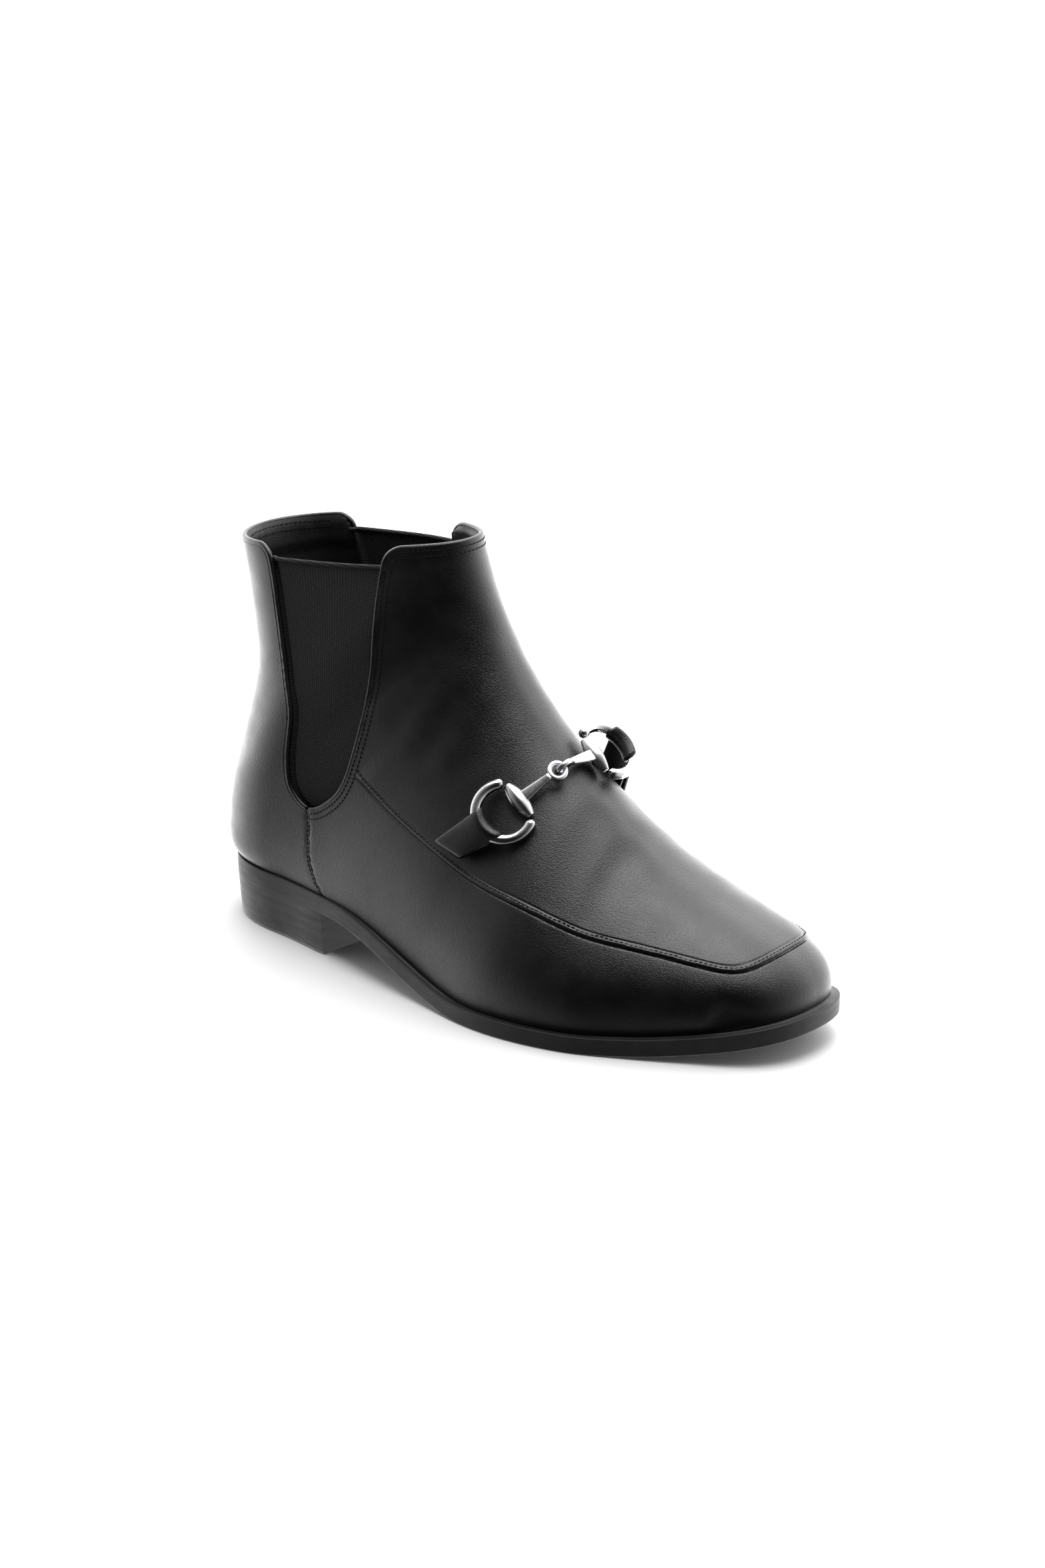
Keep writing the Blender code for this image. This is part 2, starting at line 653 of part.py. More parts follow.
def build_bit_half(name, frame, upright, metal):
    """One ring, open towards its barrel, and one bar: barrel, taper and eye in one piece."""
    angles = np.linspace(RING_OPEN, 2 * math.pi - RING_OPEN, 33)
    path = np.zeros((len(angles), 3))
    path[:, 0] = RING_AT - RING_RADIUS * np.cos(angles)
    path[:, 1] = RING_RADIUS * np.sin(angles)
    radii = np.full(len(angles), WIRE_RADIUS)
    radii[[0, -1]] *= RING_END
    points, faces = tube(path, radii, (0, 0, 1.0))
    solid(f"bit_ring_{name}", frame.place(points), faces, metal)
    places = np.linspace(-1, 1, 13)
    path = np.zeros((len(places), 3))
    path[:, 0] = BARREL_AT
    path[:, 1] = BARREL_HALF * places
    radii = BARREL_RADIUS * (BARREL_END + (1 - BARREL_END) * (1 - places**2))
    points, faces = tube(path, radii, (0, 0, 1.0), 14)
    bar = solid(f"bit_bar_{name}", frame.place(points), faces, metal)
    centre = frame.link + EYE_RADIUS / 2 * frame.across
    start = centre + (EYE_RADIUS + EYE_WIRE / 2) * frame.across
    path = np.linspace(start, frame.place((BARREL_AT, 0, 0))[0], 6)
    points, faces = tube(path, np.linspace(BAR_RADII[1], BAR_RADII[0], 6), frame.ahead, 10)
    cut(bar, cutter(f"bit_taper_{name}", points, faces), "UNION")
    second = frame.rise if upright else frame.ahead
    points, faces = torus(centre, frame.across, second, EYE_RADIUS, EYE_WIRE)
    cut(bar, cutter(f"bit_eye_{name}", points, faces), "UNION")


def build_tab(name, frame, leather):
    """The leather tab: folded round the ring's far side and sewn to the vamp inside the apron's seam."""
    wire_at = RING_AT + RING_RADIUS
    bow = RING_RADIUS - math.sqrt(RING_RADIUS**2 - (TAB_HALF_WIDTH + 1) ** 2)
    slot = WIRE_RADIUS + SLOT_PLAY
    fold = slot + TAB_LEATHER
    inner = wire_at - bow
    lift = np.array([0, 0, TAB_LIFT])
    thick = np.array([0, 0, 2 * TAB_LEATHER])
    turn = np.linspace(math.pi / 2, 1.5 * math.pi, 9)
    rings = []
    for w in (-TAB_HALF_WIDTH, TAB_HALF_WIDTH):
        length = TAB_ENDS[frame.side] - TAB_CUT * w
        row = TAB_ROWS[frame.side] - w / ROW_LENGTH
        end = frame.local(frame.on_vamp(length, row))
        near = frame.local(frame.on_vamp(length - TAB_SEWN, row))
        loop = np.stack([inner + fold * np.cos(turn), np.full(len(turn), w), fold * np.sin(turn)], axis=1)
        under = [(wire_at, w, -fold), near + 2 * lift, end + lift]
        over = [end + lift + thick, near + 3 * lift + thick, (wire_at + slot, w, TAB_FOLD_SHARE * fold)]
        rings.append(np.concatenate([loop, under, over]))
    points, faces = lofted(rings)
    tab = solid(f"tab_{name}", frame.place(points), faces, leather)
    ends = ((inner, 1), (wire_at, -1))
    halves = []
    for centre, sign in ends:
        turn = np.linspace(math.pi / 2, 1.5 * math.pi, 7)
        halves.append(np.stack([centre + sign * slot * np.cos(turn), sign * slot * np.sin(turn)], axis=1))
    outline = np.concatenate(halves)
    rings = [np.insert(outline, 1, w, axis=1) for w in (-2 * TAB_HALF_WIDTH, 2 * TAB_HALF_WIDTH)]
    points, faces = lofted(rings)
    cut(tab, cutter(f"tab_slot_{name}", frame.place(points), faces))


def stand_on_origin(objects):
    """Parents everything to one empty that puts the boot's floor centre at the origin."""
    graph = bpy.context.evaluated_depsgraph_get()
    shown = [made.evaluated_get(graph) for made in objects if not made.hide_render]
    corners = np.array([corner for made in shown for corner in made.bound_box])
    low = corners.min(axis=0)
    high = corners.max(axis=0)
    boot = bpy.data.objects.new("boot", None)
    boot.location = (-(low[0] + high[0]) / 2, -(low[1] + high[1]) / 2, -low[2])
    bpy.context.scene.collection.objects.link(boot)
    for made in objects:
        made.parent = boot


def main():
    for old in list(bpy.data.objects):
        bpy.data.objects.remove(old)
    leather = material("black_leather", (0.012, 0.012, 0.013), 0.38)
    lining = material("lining", (0.02, 0.02, 0.021), 0.6)
    elastic = material("elastic", (0.016, 0.016, 0.017), 0.85)
    rubber = material("black_rubber", (0.015, 0.015, 0.016), 0.5)
    metal = material("polished_metal", (0.62, 0.62, 0.63), 0.12, 1.0)
    build_upper(leather)
    build_gores(elastic)
    build_sole(rubber)
    build_insole(lining)
    build_heel(rubber)
    for name, side, upright in (("right", -1, False), ("left", 1, True)):
        frame = BitFrame(side)
        build_bit_half(name, frame, upright, metal)
        build_tab(name, frame, leather)
    stand_on_origin(list(bpy.data.objects))


main()
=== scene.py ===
"""Looks of the flat boot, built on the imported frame.

The leather follows the solids' last, with a smoother toe: rows of sections that turn from the toe,
round the heel and up the shaft. Lengths are millimetres from the heel's back, y to the left, z up
from the floor, until place() moves them into the frame.
"""

import math

import bpy
import numpy as np
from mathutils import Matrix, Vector
from mathutils.bvhtree import BVHTree
from mathutils.kdtree import KDTree


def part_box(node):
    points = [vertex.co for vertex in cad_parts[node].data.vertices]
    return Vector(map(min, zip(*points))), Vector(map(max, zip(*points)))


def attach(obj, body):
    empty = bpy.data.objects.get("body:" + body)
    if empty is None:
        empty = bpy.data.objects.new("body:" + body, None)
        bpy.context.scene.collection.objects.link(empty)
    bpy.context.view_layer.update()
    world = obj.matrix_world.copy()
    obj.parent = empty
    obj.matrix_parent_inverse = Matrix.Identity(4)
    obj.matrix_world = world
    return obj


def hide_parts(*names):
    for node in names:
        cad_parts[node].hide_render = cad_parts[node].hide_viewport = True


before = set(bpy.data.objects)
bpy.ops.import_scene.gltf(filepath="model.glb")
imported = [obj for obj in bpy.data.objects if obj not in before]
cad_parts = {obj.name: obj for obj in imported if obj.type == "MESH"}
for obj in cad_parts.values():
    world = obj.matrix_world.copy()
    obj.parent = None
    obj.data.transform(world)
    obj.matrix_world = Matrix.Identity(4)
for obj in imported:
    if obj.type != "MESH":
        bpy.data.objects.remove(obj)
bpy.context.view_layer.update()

# The solids' own sizes
SOLE_LENGTH = 256.0
SOLE_THICKNESS = 6.5
HEEL_HEIGHT = 17.5
TOE_SPRING = 11.5
WALL = 1.8
GAP = 0.3
TREAD_BACK = 141.0
TREAD_FRONT = 182.0
BREAST = 66.0
BREAST_SLANT = math.radians(8)
COLUMNS = (
    "base_x", "base_z", "crest_x", "crest_z", "centre",
    "right_base", "right_low", "right_high",
    "left_base", "left_low", "left_high",
    "crest_half", "seam", "round", "power",
)
SECTIONS = {
    "toe_box": (226, 0, 228, 41.5, 6, 32, 34, 29, 27.2, 29, 25, 21, 0.75, 0.60, 3.0),
    "tread": (203, 0, 205, 51, 4, 41.5, 43, 36, 33, 35, 31, 25, 0.695, 0.75, 2.8),
    "ball": (178, 0, 185, 62, 2, 49.5, 50, 40, 34, 36, 34, 27, 0.622, 0.85, 2.6),
    "waist_front": (148, 0, 165, 78, 0, 50.5, 51, 41, 29, 34, 33, 27, 0.583, 0.85, 2.6),
    "waist": (112, 0, 145, 95, 0, 44, 45, 37, 24, 31, 31, 26, 0.512, 0.80, 2.6),
    "seat_front": (75, 0, 131, 111, 0, 37, 38, 33, 26, 31, 30, 26, 0.468, 0.70, 2.5),
    "seat": (37, 0, 122, 125, 0, 29, 33, 31, 28.5, 31, 30, 26, 0.50, 0.60, 2.4),
    "heel_back": (1, 0, 117, 136, 0, 28, 32, 30, 28, 31, 30, 26, 0.52, 0.55, 2.3),
    "counter": (-1.5, 44, 114, 143, 0, 29, 32, 29, 29, 31, 29, 25, 0.53, 0.50, 2.2),
    "ankle": (7, 76, 111.5, 149, 0, 28, 30, 28, 28, 30, 28, 24, 0.54, 0.50, 2.2),
    "achilles": (13, 102, 109.8, 154, 0, 27, 28, 26, 27, 28, 26, 23, 0.54, 0.50, 2.2),
    "shaft": (9.5, 128, 108.8, 158, 0, 25, 26, 24, 25, 26, 24, 22, 0.54, 0.50, 2.2),
    "collar": (5, 148, 107.8, 162, 0, 24, 25, 23.5, 24, 25, 23.5, 22, 0.54, 0.50, 2.2),
}
HEEL_ROW = list(SECTIONS).index("heel_back")
LAST_ROW = len(SECTIONS) - 1
ROW_STEP = 0.1
BACK_ROUND = 34.0
BACK_POWER = 2.2
TOE_TIP = 252.5
TOE_TIP_Y = 8.0
TOE_FACE = 253.0
TOE_PLAN_POWER = 2.1
TOE_SIDE_POWER = 3.0
GORE_EDGE = (
    (24.0, 152.0), (30.5, 149.0), (33.0, 143.0), (37.0, 126.0), (42.0, 105.0), (45.5, 91.0),
    (44.0, 74.0), (45.5, 62.5), (54.0, 56.0), (64.0, 61.0), (71.5, 70.0), (76.5, 86.0),
    (80.0, 106.0), (81.5, 126.0), (82.0, 150.0), (84.5, 157.0), (91.0, 160.5),
)
GORE_TOP = ((20.0, 145.0), (100.0, 153.5))
LEDGE_PLACES = (0.0, 66.0, 105.0, 200.0, 256.0)
LEDGE_WIDTHS = (0.8, 1.2, 2.4, 2.6, 3.2)
HEEL_TAPER = 1.2
BREAST_CORNER = 3.0
BREAST_FLARE = 0.8
INSOLE_PLAY = 1.6
LINK_ROW = 3.58
BIT_OFFSET = 11.0
BIT_SLANTS = {-1: 0.009, 1: -0.002}
LINK_RISE = 5.0
RING_RISES = {-1: 4.4, 1: 9.5}
RING_AT = 25.0
LINK_SPAN = 2.0
RING_RADIUS = 10.2
WIRE_RADIUS = 1.75
BARREL_AT = 18.5
BARREL_HALF = 7.0
BARREL_RADIUS = 3.2
EYE_RADIUS = 2.9
EYE_WIRE = 0.95
RING_OPEN = math.radians(54)
TAB_HALF_WIDTH = 6.0
TAB_ENDS = {-1: 50.0, 1: 58.0}
TAB_ROWS = {-1: 4.2, 1: 3.7}
TAB_CUT = 0.3
ROW_LENGTH = 28.0
TAB_LEATHER = 1.3
SLOT_PLAY = 0.45

# The toe's surface: where it blends, and how its join with the foot is rounded
POLE_BLEND = (0.15, 0.65)
JOIN_BLEND = 0.6
SHARE_STEP = 0.01
CLIMB_POWER = 8
TOE_LINE_LENGTH = 45.0
JOIN_WIDTH = 8.0
JOIN_PASSES = 40

# The apron's front edge is at this turn of the toe in the middle, and bows back to its corners,
# which lie at this share of the way to the crest
FRONT_MIDDLE = 0.705
FRONT_BOW = 0.06
FRONT_ROUND = 0.1
CORNER_SHARE = 0.865

# The apron's seam; a groove is its distance into the apron, depth and width
APRON_RISE = 0.5
APRON_FALL = 9.0
SEAM_END_ROW = 6.08
SEAM_FADE = 0.3
SEAM_POINTS = 0.7
SEAM_FINE = 0.2
SEAM_SOFTNESS = 60
SEAM_STITCH = 1.4
SEAM_GROOVES = ((SEAM_STITCH, 0.25, 0.35), (-0.95, 0.6, 0.5))
CORD_RADII = (0.4, 0.72)
CORD_GROWTH = 60.0
CORD_DEPTH = 0.05

# The side seams below the gores
SIDE_SEAM = ((54.5, 56.0), (55.0, 50.0), (54.3, 38.0), (57.0, 30.0), (60.6, 26.0), (63.0, 23.0))
SIDE_RISE = 0.25
SIDE_FALL = 6.0
SIDE_GROOVE = 0.5
SIDE_GROOVE_WIDTH = 0.7
SIDE_REACH = 40.0
SIDE_ROLL = 0.4
SIDE_DEPTH = 0.1
SIDE_STITCH = 1.0

# Edges and stitches
EDGE_POINTS = 0.8
ROLL_RADIUS = 0.95
ROLL_SINK = 0.85
FRONT_STITCHES = (1.5, 3.6)
REAR_LINE = 1.3
REAR_LINE_RADIUS = 0.16
STITCH_PITCH = 1.8
STITCH_LENGTH = 1.45
STITCH_RADIUS = 0.24
STITCH_TILT = 0.12
STITCH_LIFT = 0.3

# Gores
GORE_DEPTH = 1.6
TROUGH_DEPTH = 1.5
TROUGH_AT = 1.6
TROUGH_WIDTH = 1.4
GORE_MARGIN = 4.0
GORE_TOP_MIDDLE = 149.0
GORE_ROWS = 60
GORE_RIBS = 46
RIB_POINTS = 6
RIB_HEIGHT = 0.2
BINDING_RADIUS = 0.8

# Lining
LINING_DEPTH = 1.75
LINING_LINES = np.concatenate(
    [np.linspace(-0.85, 0, 12)[:-1], np.arange(0, 7, 0.14), np.linspace(7, 12, 48)]
)
LINING_STITCHES = (1.8, 4.4)
LINING_SEAM_X = 22.0
BAND_WIDTH = 10.0
BAND_FADE = 2.0
BAND_THICKNESS = 1.0
RIM_FADE = 2.5
PUCKER_DEPTH = 0.3
PUCKER_PITCH = 5.0
PUCKER_WIDTH = 3.0

# Edges of the sole, as insets and shares of its thickness, of the insole, as insets and heights,
# and of the heel, as shares of its height and insets
SOLE_EDGE = (
    (5.0, 1.0), (0.7, 1.0), (0.35, 1.0), (0.15, 0.992), (0.04, 0.975), (0.0, 0.95), (0.0, 0.91),
    (-0.03, 0.5), (0.0, 0.12), (0.0, 0.08), (0.06, 0.04), (0.2, 0.012), (0.45, 0.0), (0.9, 0.0), (6.0, 0.0),
)
SOLE_FREE = (65.0, 70.0)
INSOLE_EDGE = ((0, 0), (0, 1.4), (0.3, 2.0), (1.0, 2.2))
HEEL_EDGE = (
    (0.0, 0.0), (0.17, 0.0), (0.19, 0.03), (0.21, 0.0), (0.39, 0.0), (0.41, 0.03), (0.43, 0.0),
    (0.61, 0.0), (0.63, 0.03), (0.65, 0.0), (0.93, 0.0), (0.98, 0.2), (1.0, 0.7),
)
HEEL_SHARP = math.radians(50)

# Bit and tabs
WIRE_LOOK = 2.0
BARREL_POINTS = 41
BARREL_END = 0.42
BARREL_TIP = 0.75
BARREL_POWER = 1.6
TAPER_POINTS = 14
TAPER_SMALL = (1.15, 1.1)
TAPER_LARGE = (2.5, 1.7)
TAPER_POWER = 4.0
EYE_POINTS = 48
EYE_SIDES = 16
EYE_POWER = 2.8
TAB_PLACES = (0.3, 3.4, 8.0)
TAB_RISES = (0.6, 0.75, 0.85)
TAB_APPROACH = 1.5
TAB_TUCK = ((-0.6, 5.1), (0.36, 4.66), (0.75, 3.7), (0.36, 2.6), (-0.5, 2.15), (-2.5, 2.1))
TAB_SOFTNESS = 12
TAB_COLUMNS = (-1, -0.985, -0.95, -0.88, -0.6, -0.3, 0, 0.3, 0.6, 0.88, 0.95, 0.985, 1)
TAB_EDGE_POWER = 20
TAB_STITCH_ROWS = (0.2, 0.65)
TAB_STITCH_REACH = 0.88
TAB_STITCH_LIFT = 4.2

# Range of a texture's values that is spread over a colour or a roughness, and a tint's bluer end
NOISE_RANGE = (0.3, 0.7)
COOL = 1.03

# The studio
FLOOR_REACH = 8.0
LIGHTS = (
    ("softbox", (-0.1, 0.9, 1.0), (1.2, 0.8), 3),
    ("top_box", (0.15, -0.05, 1.2), (0.9, 0.9), 18),
)
BACKDROP = 1.0
DARK_AXIS = (0.42, -0.906, 0.0)
DARK_EDGE = 0.87
BRIGHT_EDGE = -0.63
SKY_POWER = 1.8
SKY = 4.1
DARK_SKY = 0.025
LIGHT_TARGET = (0, 0, 0.06)

# The photograph's camera
IMAGE_HEIGHT = 2353
FOCAL_PIXELS = 5500
SENSOR = 36.0
AZIMUTH = math.radians(37)
ELEVATION = math.radians(21)
CAMERA_TARGET = (133.5, -6.3, 76.4)
CAMERA_DISTANCE = 1314.6


# The last

def sole_bottom(x):
    """Height of the sole's underside at x."""
    rise = np.clip((TREAD_BACK - x) / (TREAD_BACK - BREAST), 0, 1)
    arch = HEEL_HEIGHT * rise**2 * (3 - 2 * rise)
    spring = TOE_SPRING * np.clip((x - TREAD_FRONT) / (SOLE_LENGTH - TREAD_FRONT), 0, 1) ** 2
    return arch + spring


def feather_z(x):
    """Height of the feather line, where the upper meets the sole's top."""
    return sole_bottom(x) + SOLE_THICKNESS + GAP


def smooth(values, u):
    """A table's values at fractional row u, on a smooth curve through its rows."""
    values = np.asarray(values, float)
    i = min(int(u), len(values) - 2)
    f = u - i
    p1 = values[i]
    p2 = values[i + 1]
    p0 = values[i - 1] if i > 0 else 2 * p1 - p2
    p3 = values[i + 2] if i + 2 < len(values) else 2 * p2 - p1
    bend = 2 * p0 - 5 * p1 + 4 * p2 - p3
    twist = 3 * p1 - p0 - 3 * p2 + p3
    return 0.5 * (2 * p1 + (p2 - p0) * f + bend * f**2 + twist * f**3)


TABLE = np.array(list(SECTIONS.values()), float)
TABLE[: HEEL_ROW + 1, 1] = feather_z(TABLE[: HEEL_ROW + 1, 0])


def row_at(u):
    """The section's columns at fractional row u, by name."""
    row = dict(zip(COLUMNS, smooth(TABLE, u)))
    if u <= HEEL_ROW:
        row["base_z"] = feather_z(row["base_x"])
    return row


def rounded(share, power):
    """Rises from 0 at an edge to 1 where share reaches 1, along a quarter of a superellipse."""
    share = np.clip(share, 0, 1)
    return (1 - (1 - share) ** power) ** (1 / power)


def through(widths, h):
    """The cubic through four half widths at h = 0, 0.3, 0.7 and 1."""
    places = (0, 0.3, 0.7, 1)
    total = np.zeros_like(h)
    for place, width in zip(places, widths):
        term = np.full_like(h, width)
        for other in places:
            if other != place:
                term = term * (h - other) / (place - other)
        total = total + term
    return total


BACK_ROWS = [row_at(u) for u in np.linspace(HEEL_ROW, LAST_ROW, 240)]
BACK_Z = [row["base_z"] for row in BACK_ROWS]
BACK_X = [row["base_x"] for row in BACK_ROWS]


def section(u, h, side):
    """Points of one half section, base to crest; side is -1 on the right and 1 on the left."""
    row = row_at(u)
    name = "right" if side < 0 else "left"
    widths = [row[f"{name}_{place}"] for place in ("base", "low", "high")] + [row["crest_half"]]
    x = row["base_x"] + (row["crest_x"] - row["base_x"]) * h
    z = row["base_z"] + (row["crest_z"] - row["base_z"]) * h
    half = through(widths, h) * rounded((1 - h) / row["round"], row["power"])
    from_back = x - np.interp(z, BACK_Z, BACK_X)
    if u >= HEEL_ROW:
        from_back = from_back - (row["base_x"] - np.interp(row["base_z"], BACK_Z, BACK_X)) * (1 - h)
    half *= rounded(from_back / BACK_ROUND, BACK_POWER)
    return np.stack([x, row["centre"] + side * half, z], axis=-1)


def slopes(h, side):
    """How the toe box row's half widths shrink and its lines rise forwards, and its widths grow with h."""
    first = section(0, h, side)
    behind = section(ROW_STEP, h, side)
    shift = row_at(ROW_STEP)["centre"] - row_at(0)["centre"]
    ahead = first[:, 0] - behind[:, 0]
    low = np.maximum(h - SHARE_STEP, 0)
    high = np.minimum(h + SHARE_STEP, 1)
    growth = side * (section(0, high, side)[:, 1] - section(0, low, side)[:, 1]) / (high - low)
    return side * (behind[:, 1] - shift - first[:, 1]) / ahead, (first[:, 2] - behind[:, 2]) / ahead, growth


def toe_section(turn, h, side):
    """A half section of the toe: turn 1 is the toe box row, 0 lies along the feather line to the tip.

    The surface leaves that row, and the corner that all its lines share, in their own planes.
    """
    row = row_at(0)
    behind = row_at(1)
    corner = np.array([row["base_x"], row["base_z"]])
    crest = np.array([row["crest_x"], row["crest_z"]])
    tip = np.array([TOE_TIP, feather_z(TOE_TIP)])
    fall = (row["crest_z"] - behind["crest_z"]) / (row["crest_x"] - behind["crest_x"])
    face = np.array([TOE_FACE, row["crest_z"] + fall * (TOE_FACE - row["crest_x"])])
    c = math.cos(turn * math.pi / 2)
    s = math.sin(turn * math.pi / 2)
    size = (c**TOE_SIDE_POWER + s**TOE_SIDE_POWER) ** (-1 / TOE_SIDE_POWER)
    still = crest + tip - face - corner
    reach = still + size * (c * (face - crest) + s * (face - tip))
    upright = side * (section(0, h, side)[:, 1] - row["centre"])
    shrink, slope, growth = slopes(h, side)
    across, height = crest - corner
    climb = (fall - slope) / (height - across * slope) * (1 - h**CLIMB_POWER)
    taper = ((1 - climb * across) * shrink - climb * growth) * (TOE_FACE - row["crest_x"])
    base_half = row["right_base"] if side < 0 else row["left_base"]
    base_shrink, _, base_growth = slopes(np.zeros(1), side)
    base_taper = base_shrink * (TOE_TIP - row["base_x"])
    flat = base_half * (1 - h**TOE_PLAN_POWER) ** (1 / TOE_PLAN_POWER) - base_taper * h * (1 - h)
    half = c**2 * flat + s**2 * upright - c * s * h * taper
    edges = np.array([base_growth[0], -base_taper[0]])
    shared = base_half + h * (still @ np.linalg.solve(np.array([crest - corner, tip - corner]), edges))
    ahead = eased(min(c / JOIN_BLEND, 1))
    lean = ahead * (flat - shared) - (1 - ahead) * h * taper
    plane = shared + size * (c * lean + s * (upright - shared))
    low, high = POLE_BLEND
    half = plane + (half - plane) * eased(np.clip((h - low) / (high - low), 0, 1))
    centre = row["centre"] + (TOE_TIP_Y - row["centre"]) * h * c
    along = corner + h[:, None] * reach
    return np.stack([along[:, 0], centre + side * np.maximum(half, 0), along[:, 1]], axis=-1)


def on_last(v, h, side):
    """Points of the last at line v: a row from 0 up, and the toe from -1 at the feather line to 0."""
    return toe_section(1 + v, h, side) if v < 0 else section(v, h, side)


def eased(t):
    """0 to 1, slow at both ends."""
    return t * t * (3 - 2 * t)


SAMPLES = eased(np.linspace(0, 1, 321))


# The apron's seam

def front_turn(w):
    """Turn of the toe at the apron's front edge; w runs from -1 at its right corner to 1 at the left."""
    return FRONT_MIDDLE + FRONT_BOW * (np.sqrt(w**2 + FRONT_ROUND**2) - FRONT_ROUND)


def seam_share(v):
    """Share of the way to the crest where the seam crosses line v."""
    if v >= 0:
        return row_at(v)["seam"]
    seam = row_at(0)["seam"]
    t = min(-v / (1 - front_turn(1)), 1)
    return seam + (CORNER_SHARE - seam) * (t + 1 - math.sqrt(1 - t**2)) / 2


def seam_path():
    """Points of the seam, from the right gore round the toe to the left gore."""
    sides = {}
    for side in (-1, 1):
        turns = np.linspace(0, 1, 60)
        toe = (1 - (1 - turns) ** 2) * (front_turn(side) - 1)
        places = np.concatenate([np.linspace(SEAM_END_ROW, 0, 160)[:-1], toe])
        sides[side] = [on_last(v, np.array([seam_share(v)]), side)[0] for v in places]
    front = []
    for w in np.linspace(-1, 1, 61)[1:-1]:
        h = 1 - abs(w) * (1 - CORNER_SHARE)
        front.append(on_last(front_turn(w) - 1, np.array([h]), 1 if w > 0 else -1)[0])
    return np.array(sides[-1] + front + sides[1][::-1])


# Meshes

def feather_loop():
    """Closed plan outline of the feather line: right side from the toe to the heel, then the left."""
    rows = np.concatenate([np.arange(0, 6, 0.125), np.linspace(6, 6.96, 14), [HEEL_ROW]])
    sides = []
    for side in (-1, 1):
        toe = toe_section(0, np.sin(np.linspace(1, 0.04, 22) * math.pi / 2), side)
        foot = np.array([section(u, np.zeros(1), side)[0] for u in rows])
        sides.append(np.concatenate([toe, foot])[:, :2])
    return np.concatenate([sides[0], sides[1][::-1][1:-1]])


LOOP = feather_loop()


def offset_loop(distance):
    """The feather outline moved outwards by distance, a number or one for each point."""
    step = np.roll(LOOP, -1, axis=0) - np.roll(LOOP, 1, axis=0)
    out = np.stack([-step[:, 1], step[:, 0]], axis=1)
    out /= np.linalg.norm(out, axis=1, keepdims=True)
    return LOOP + out * np.broadcast_to(distance, len(LOOP))[:, None]


LEDGE = np.interp(LOOP[:, 0], LEDGE_PLACES, LEDGE_WIDTHS)
OWN_PLAN = offset_loop(LEDGE)
SOLE_BOX = np.array(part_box("outsole")) * 1000
ORIGIN = np.append((OWN_PLAN.min(axis=0) + OWN_PLAN.max(axis=0) - SOLE_BOX.sum(axis=0)[:2]) / 2, 0)


def place(points):
    """Points in the frame, in metres."""
    return (np.asarray(points, float) - ORIGIN) * 0.001


def add(name, data):
    """An object in the scene."""
    made = bpy.data.objects.new(name, data)
    bpy.context.scene.collection.objects.link(made)
    return made


def piece(name, points, faces, finish, slot, replaces=None):
    """A smooth object that rides on the boot, from points in millimetres."""
    keys, index = np.unique(np.round(points, 3), axis=0, return_inverse=True)
    index = index.reshape(-1)
    kept = []
    for face in faces:
        corners = list(dict.fromkeys(index[list(face)].tolist()))
        if len(corners) > 2:
            kept.append(corners)
    mesh = bpy.data.meshes.new(name)
    mesh.from_pydata(place(keys).tolist(), [], kept)
    mesh.materials.append(finish)
    mesh.shade_smooth()
    made = add(name, mesh)
    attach(made, "root")
    if replaces:
        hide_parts(replaces)
    return made


def sheet_faces(lines, count):
    """Quads of a grid of lines with count points each."""
    i, j = np.meshgrid(np.arange(lines - 1), np.arange(count - 1), indexing="ij")
    a = (i * count + j).reshape(-1)
    return np.stack([a, a + 1, a + count + 1, a + count], axis=1)


def loop_faces(lines, count, closed=False):
    """Quads of a tube of rings with count points each, joined end to end if closed."""
    i, j = np.meshgrid(np.arange(lines if closed else lines - 1), np.arange(count), indexing="ij")
    k = (j + 1) % count
    n = (i + 1) % lines
    quads = [i * count + j, i * count + k, n * count + k, n * count + j]
    return np.stack([q.reshape(-1) for q in quads], axis=1).tolist()


def unit(vectors):
    """Vectors scaled to length 1."""
    return vectors / np.maximum(np.linalg.norm(vectors, axis=-1, keepdims=True), 1e-9)


def lengths(path):
    """Length along a path at each of its points."""
    return np.concatenate([[0], np.cumsum(np.linalg.norm(np.diff(path, axis=0), axis=1))])


def at_lengths(places, length, path):
    """Points of a path at places along it, from the length at each of its points."""
    return np.stack([np.interp(places, length, path[:, k]) for k in range(3)], axis=-1)


def resampled(path, step):
    """A path with points about step apart."""
    length = lengths(path)
    count = max(2, int(round(length[-1] / step)) + 1)
    return at_lengths(np.linspace(0, length[-1], count), length, path)


def softened(path, times):
    """A path with its corners rounded; the ends stay."""
    path = path.copy()
    for _ in range(times):
        path[1:-1] = (path[:-2] + 2 * path[1:-1] + path[2:]) / 4
    return path


def ends(lines, count):
    """Faces that close both ends of a tube of rings with count points each."""
    return [list(range(count))[::-1], list(range((lines - 1) * count, lines * count))]


def sweep(path, up, across, rise, closed=False):
    """Points and faces of a bar: a ring of (across, rise) offsets for each point of a path."""
    step = np.roll(path, -1, axis=0) - np.roll(path, 1, axis=0) if closed else np.gradient(path, axis=0)
    beside = unit(np.cross(step, up))
    above = unit(np.cross(beside, step))
    rings = path[:, None] + across[..., None] * beside[:, None] + rise[..., None] * above[:, None]
    size = rings.shape[:2]
    return rings.reshape(-1, 3), loop_faces(*size, closed) + ([] if closed else ends(*size))


def round_ring(radii, sides, power=2.0):
    """Ring offsets of a round bar with a radius for each path point; power above 2 squares it off."""
    angles = np.linspace(0, 2 * math.pi, sides, endpoint=False)
    c = np.sign(np.cos(angles)) * np.abs(np.cos(angles)) ** (2 / power)
    s = np.sign(np.sin(angles)) * np.abs(np.sin(angles)) ** (2 / power)
    radii = np.asarray(radii, float)[:, None]
    return radii * c, radii * s


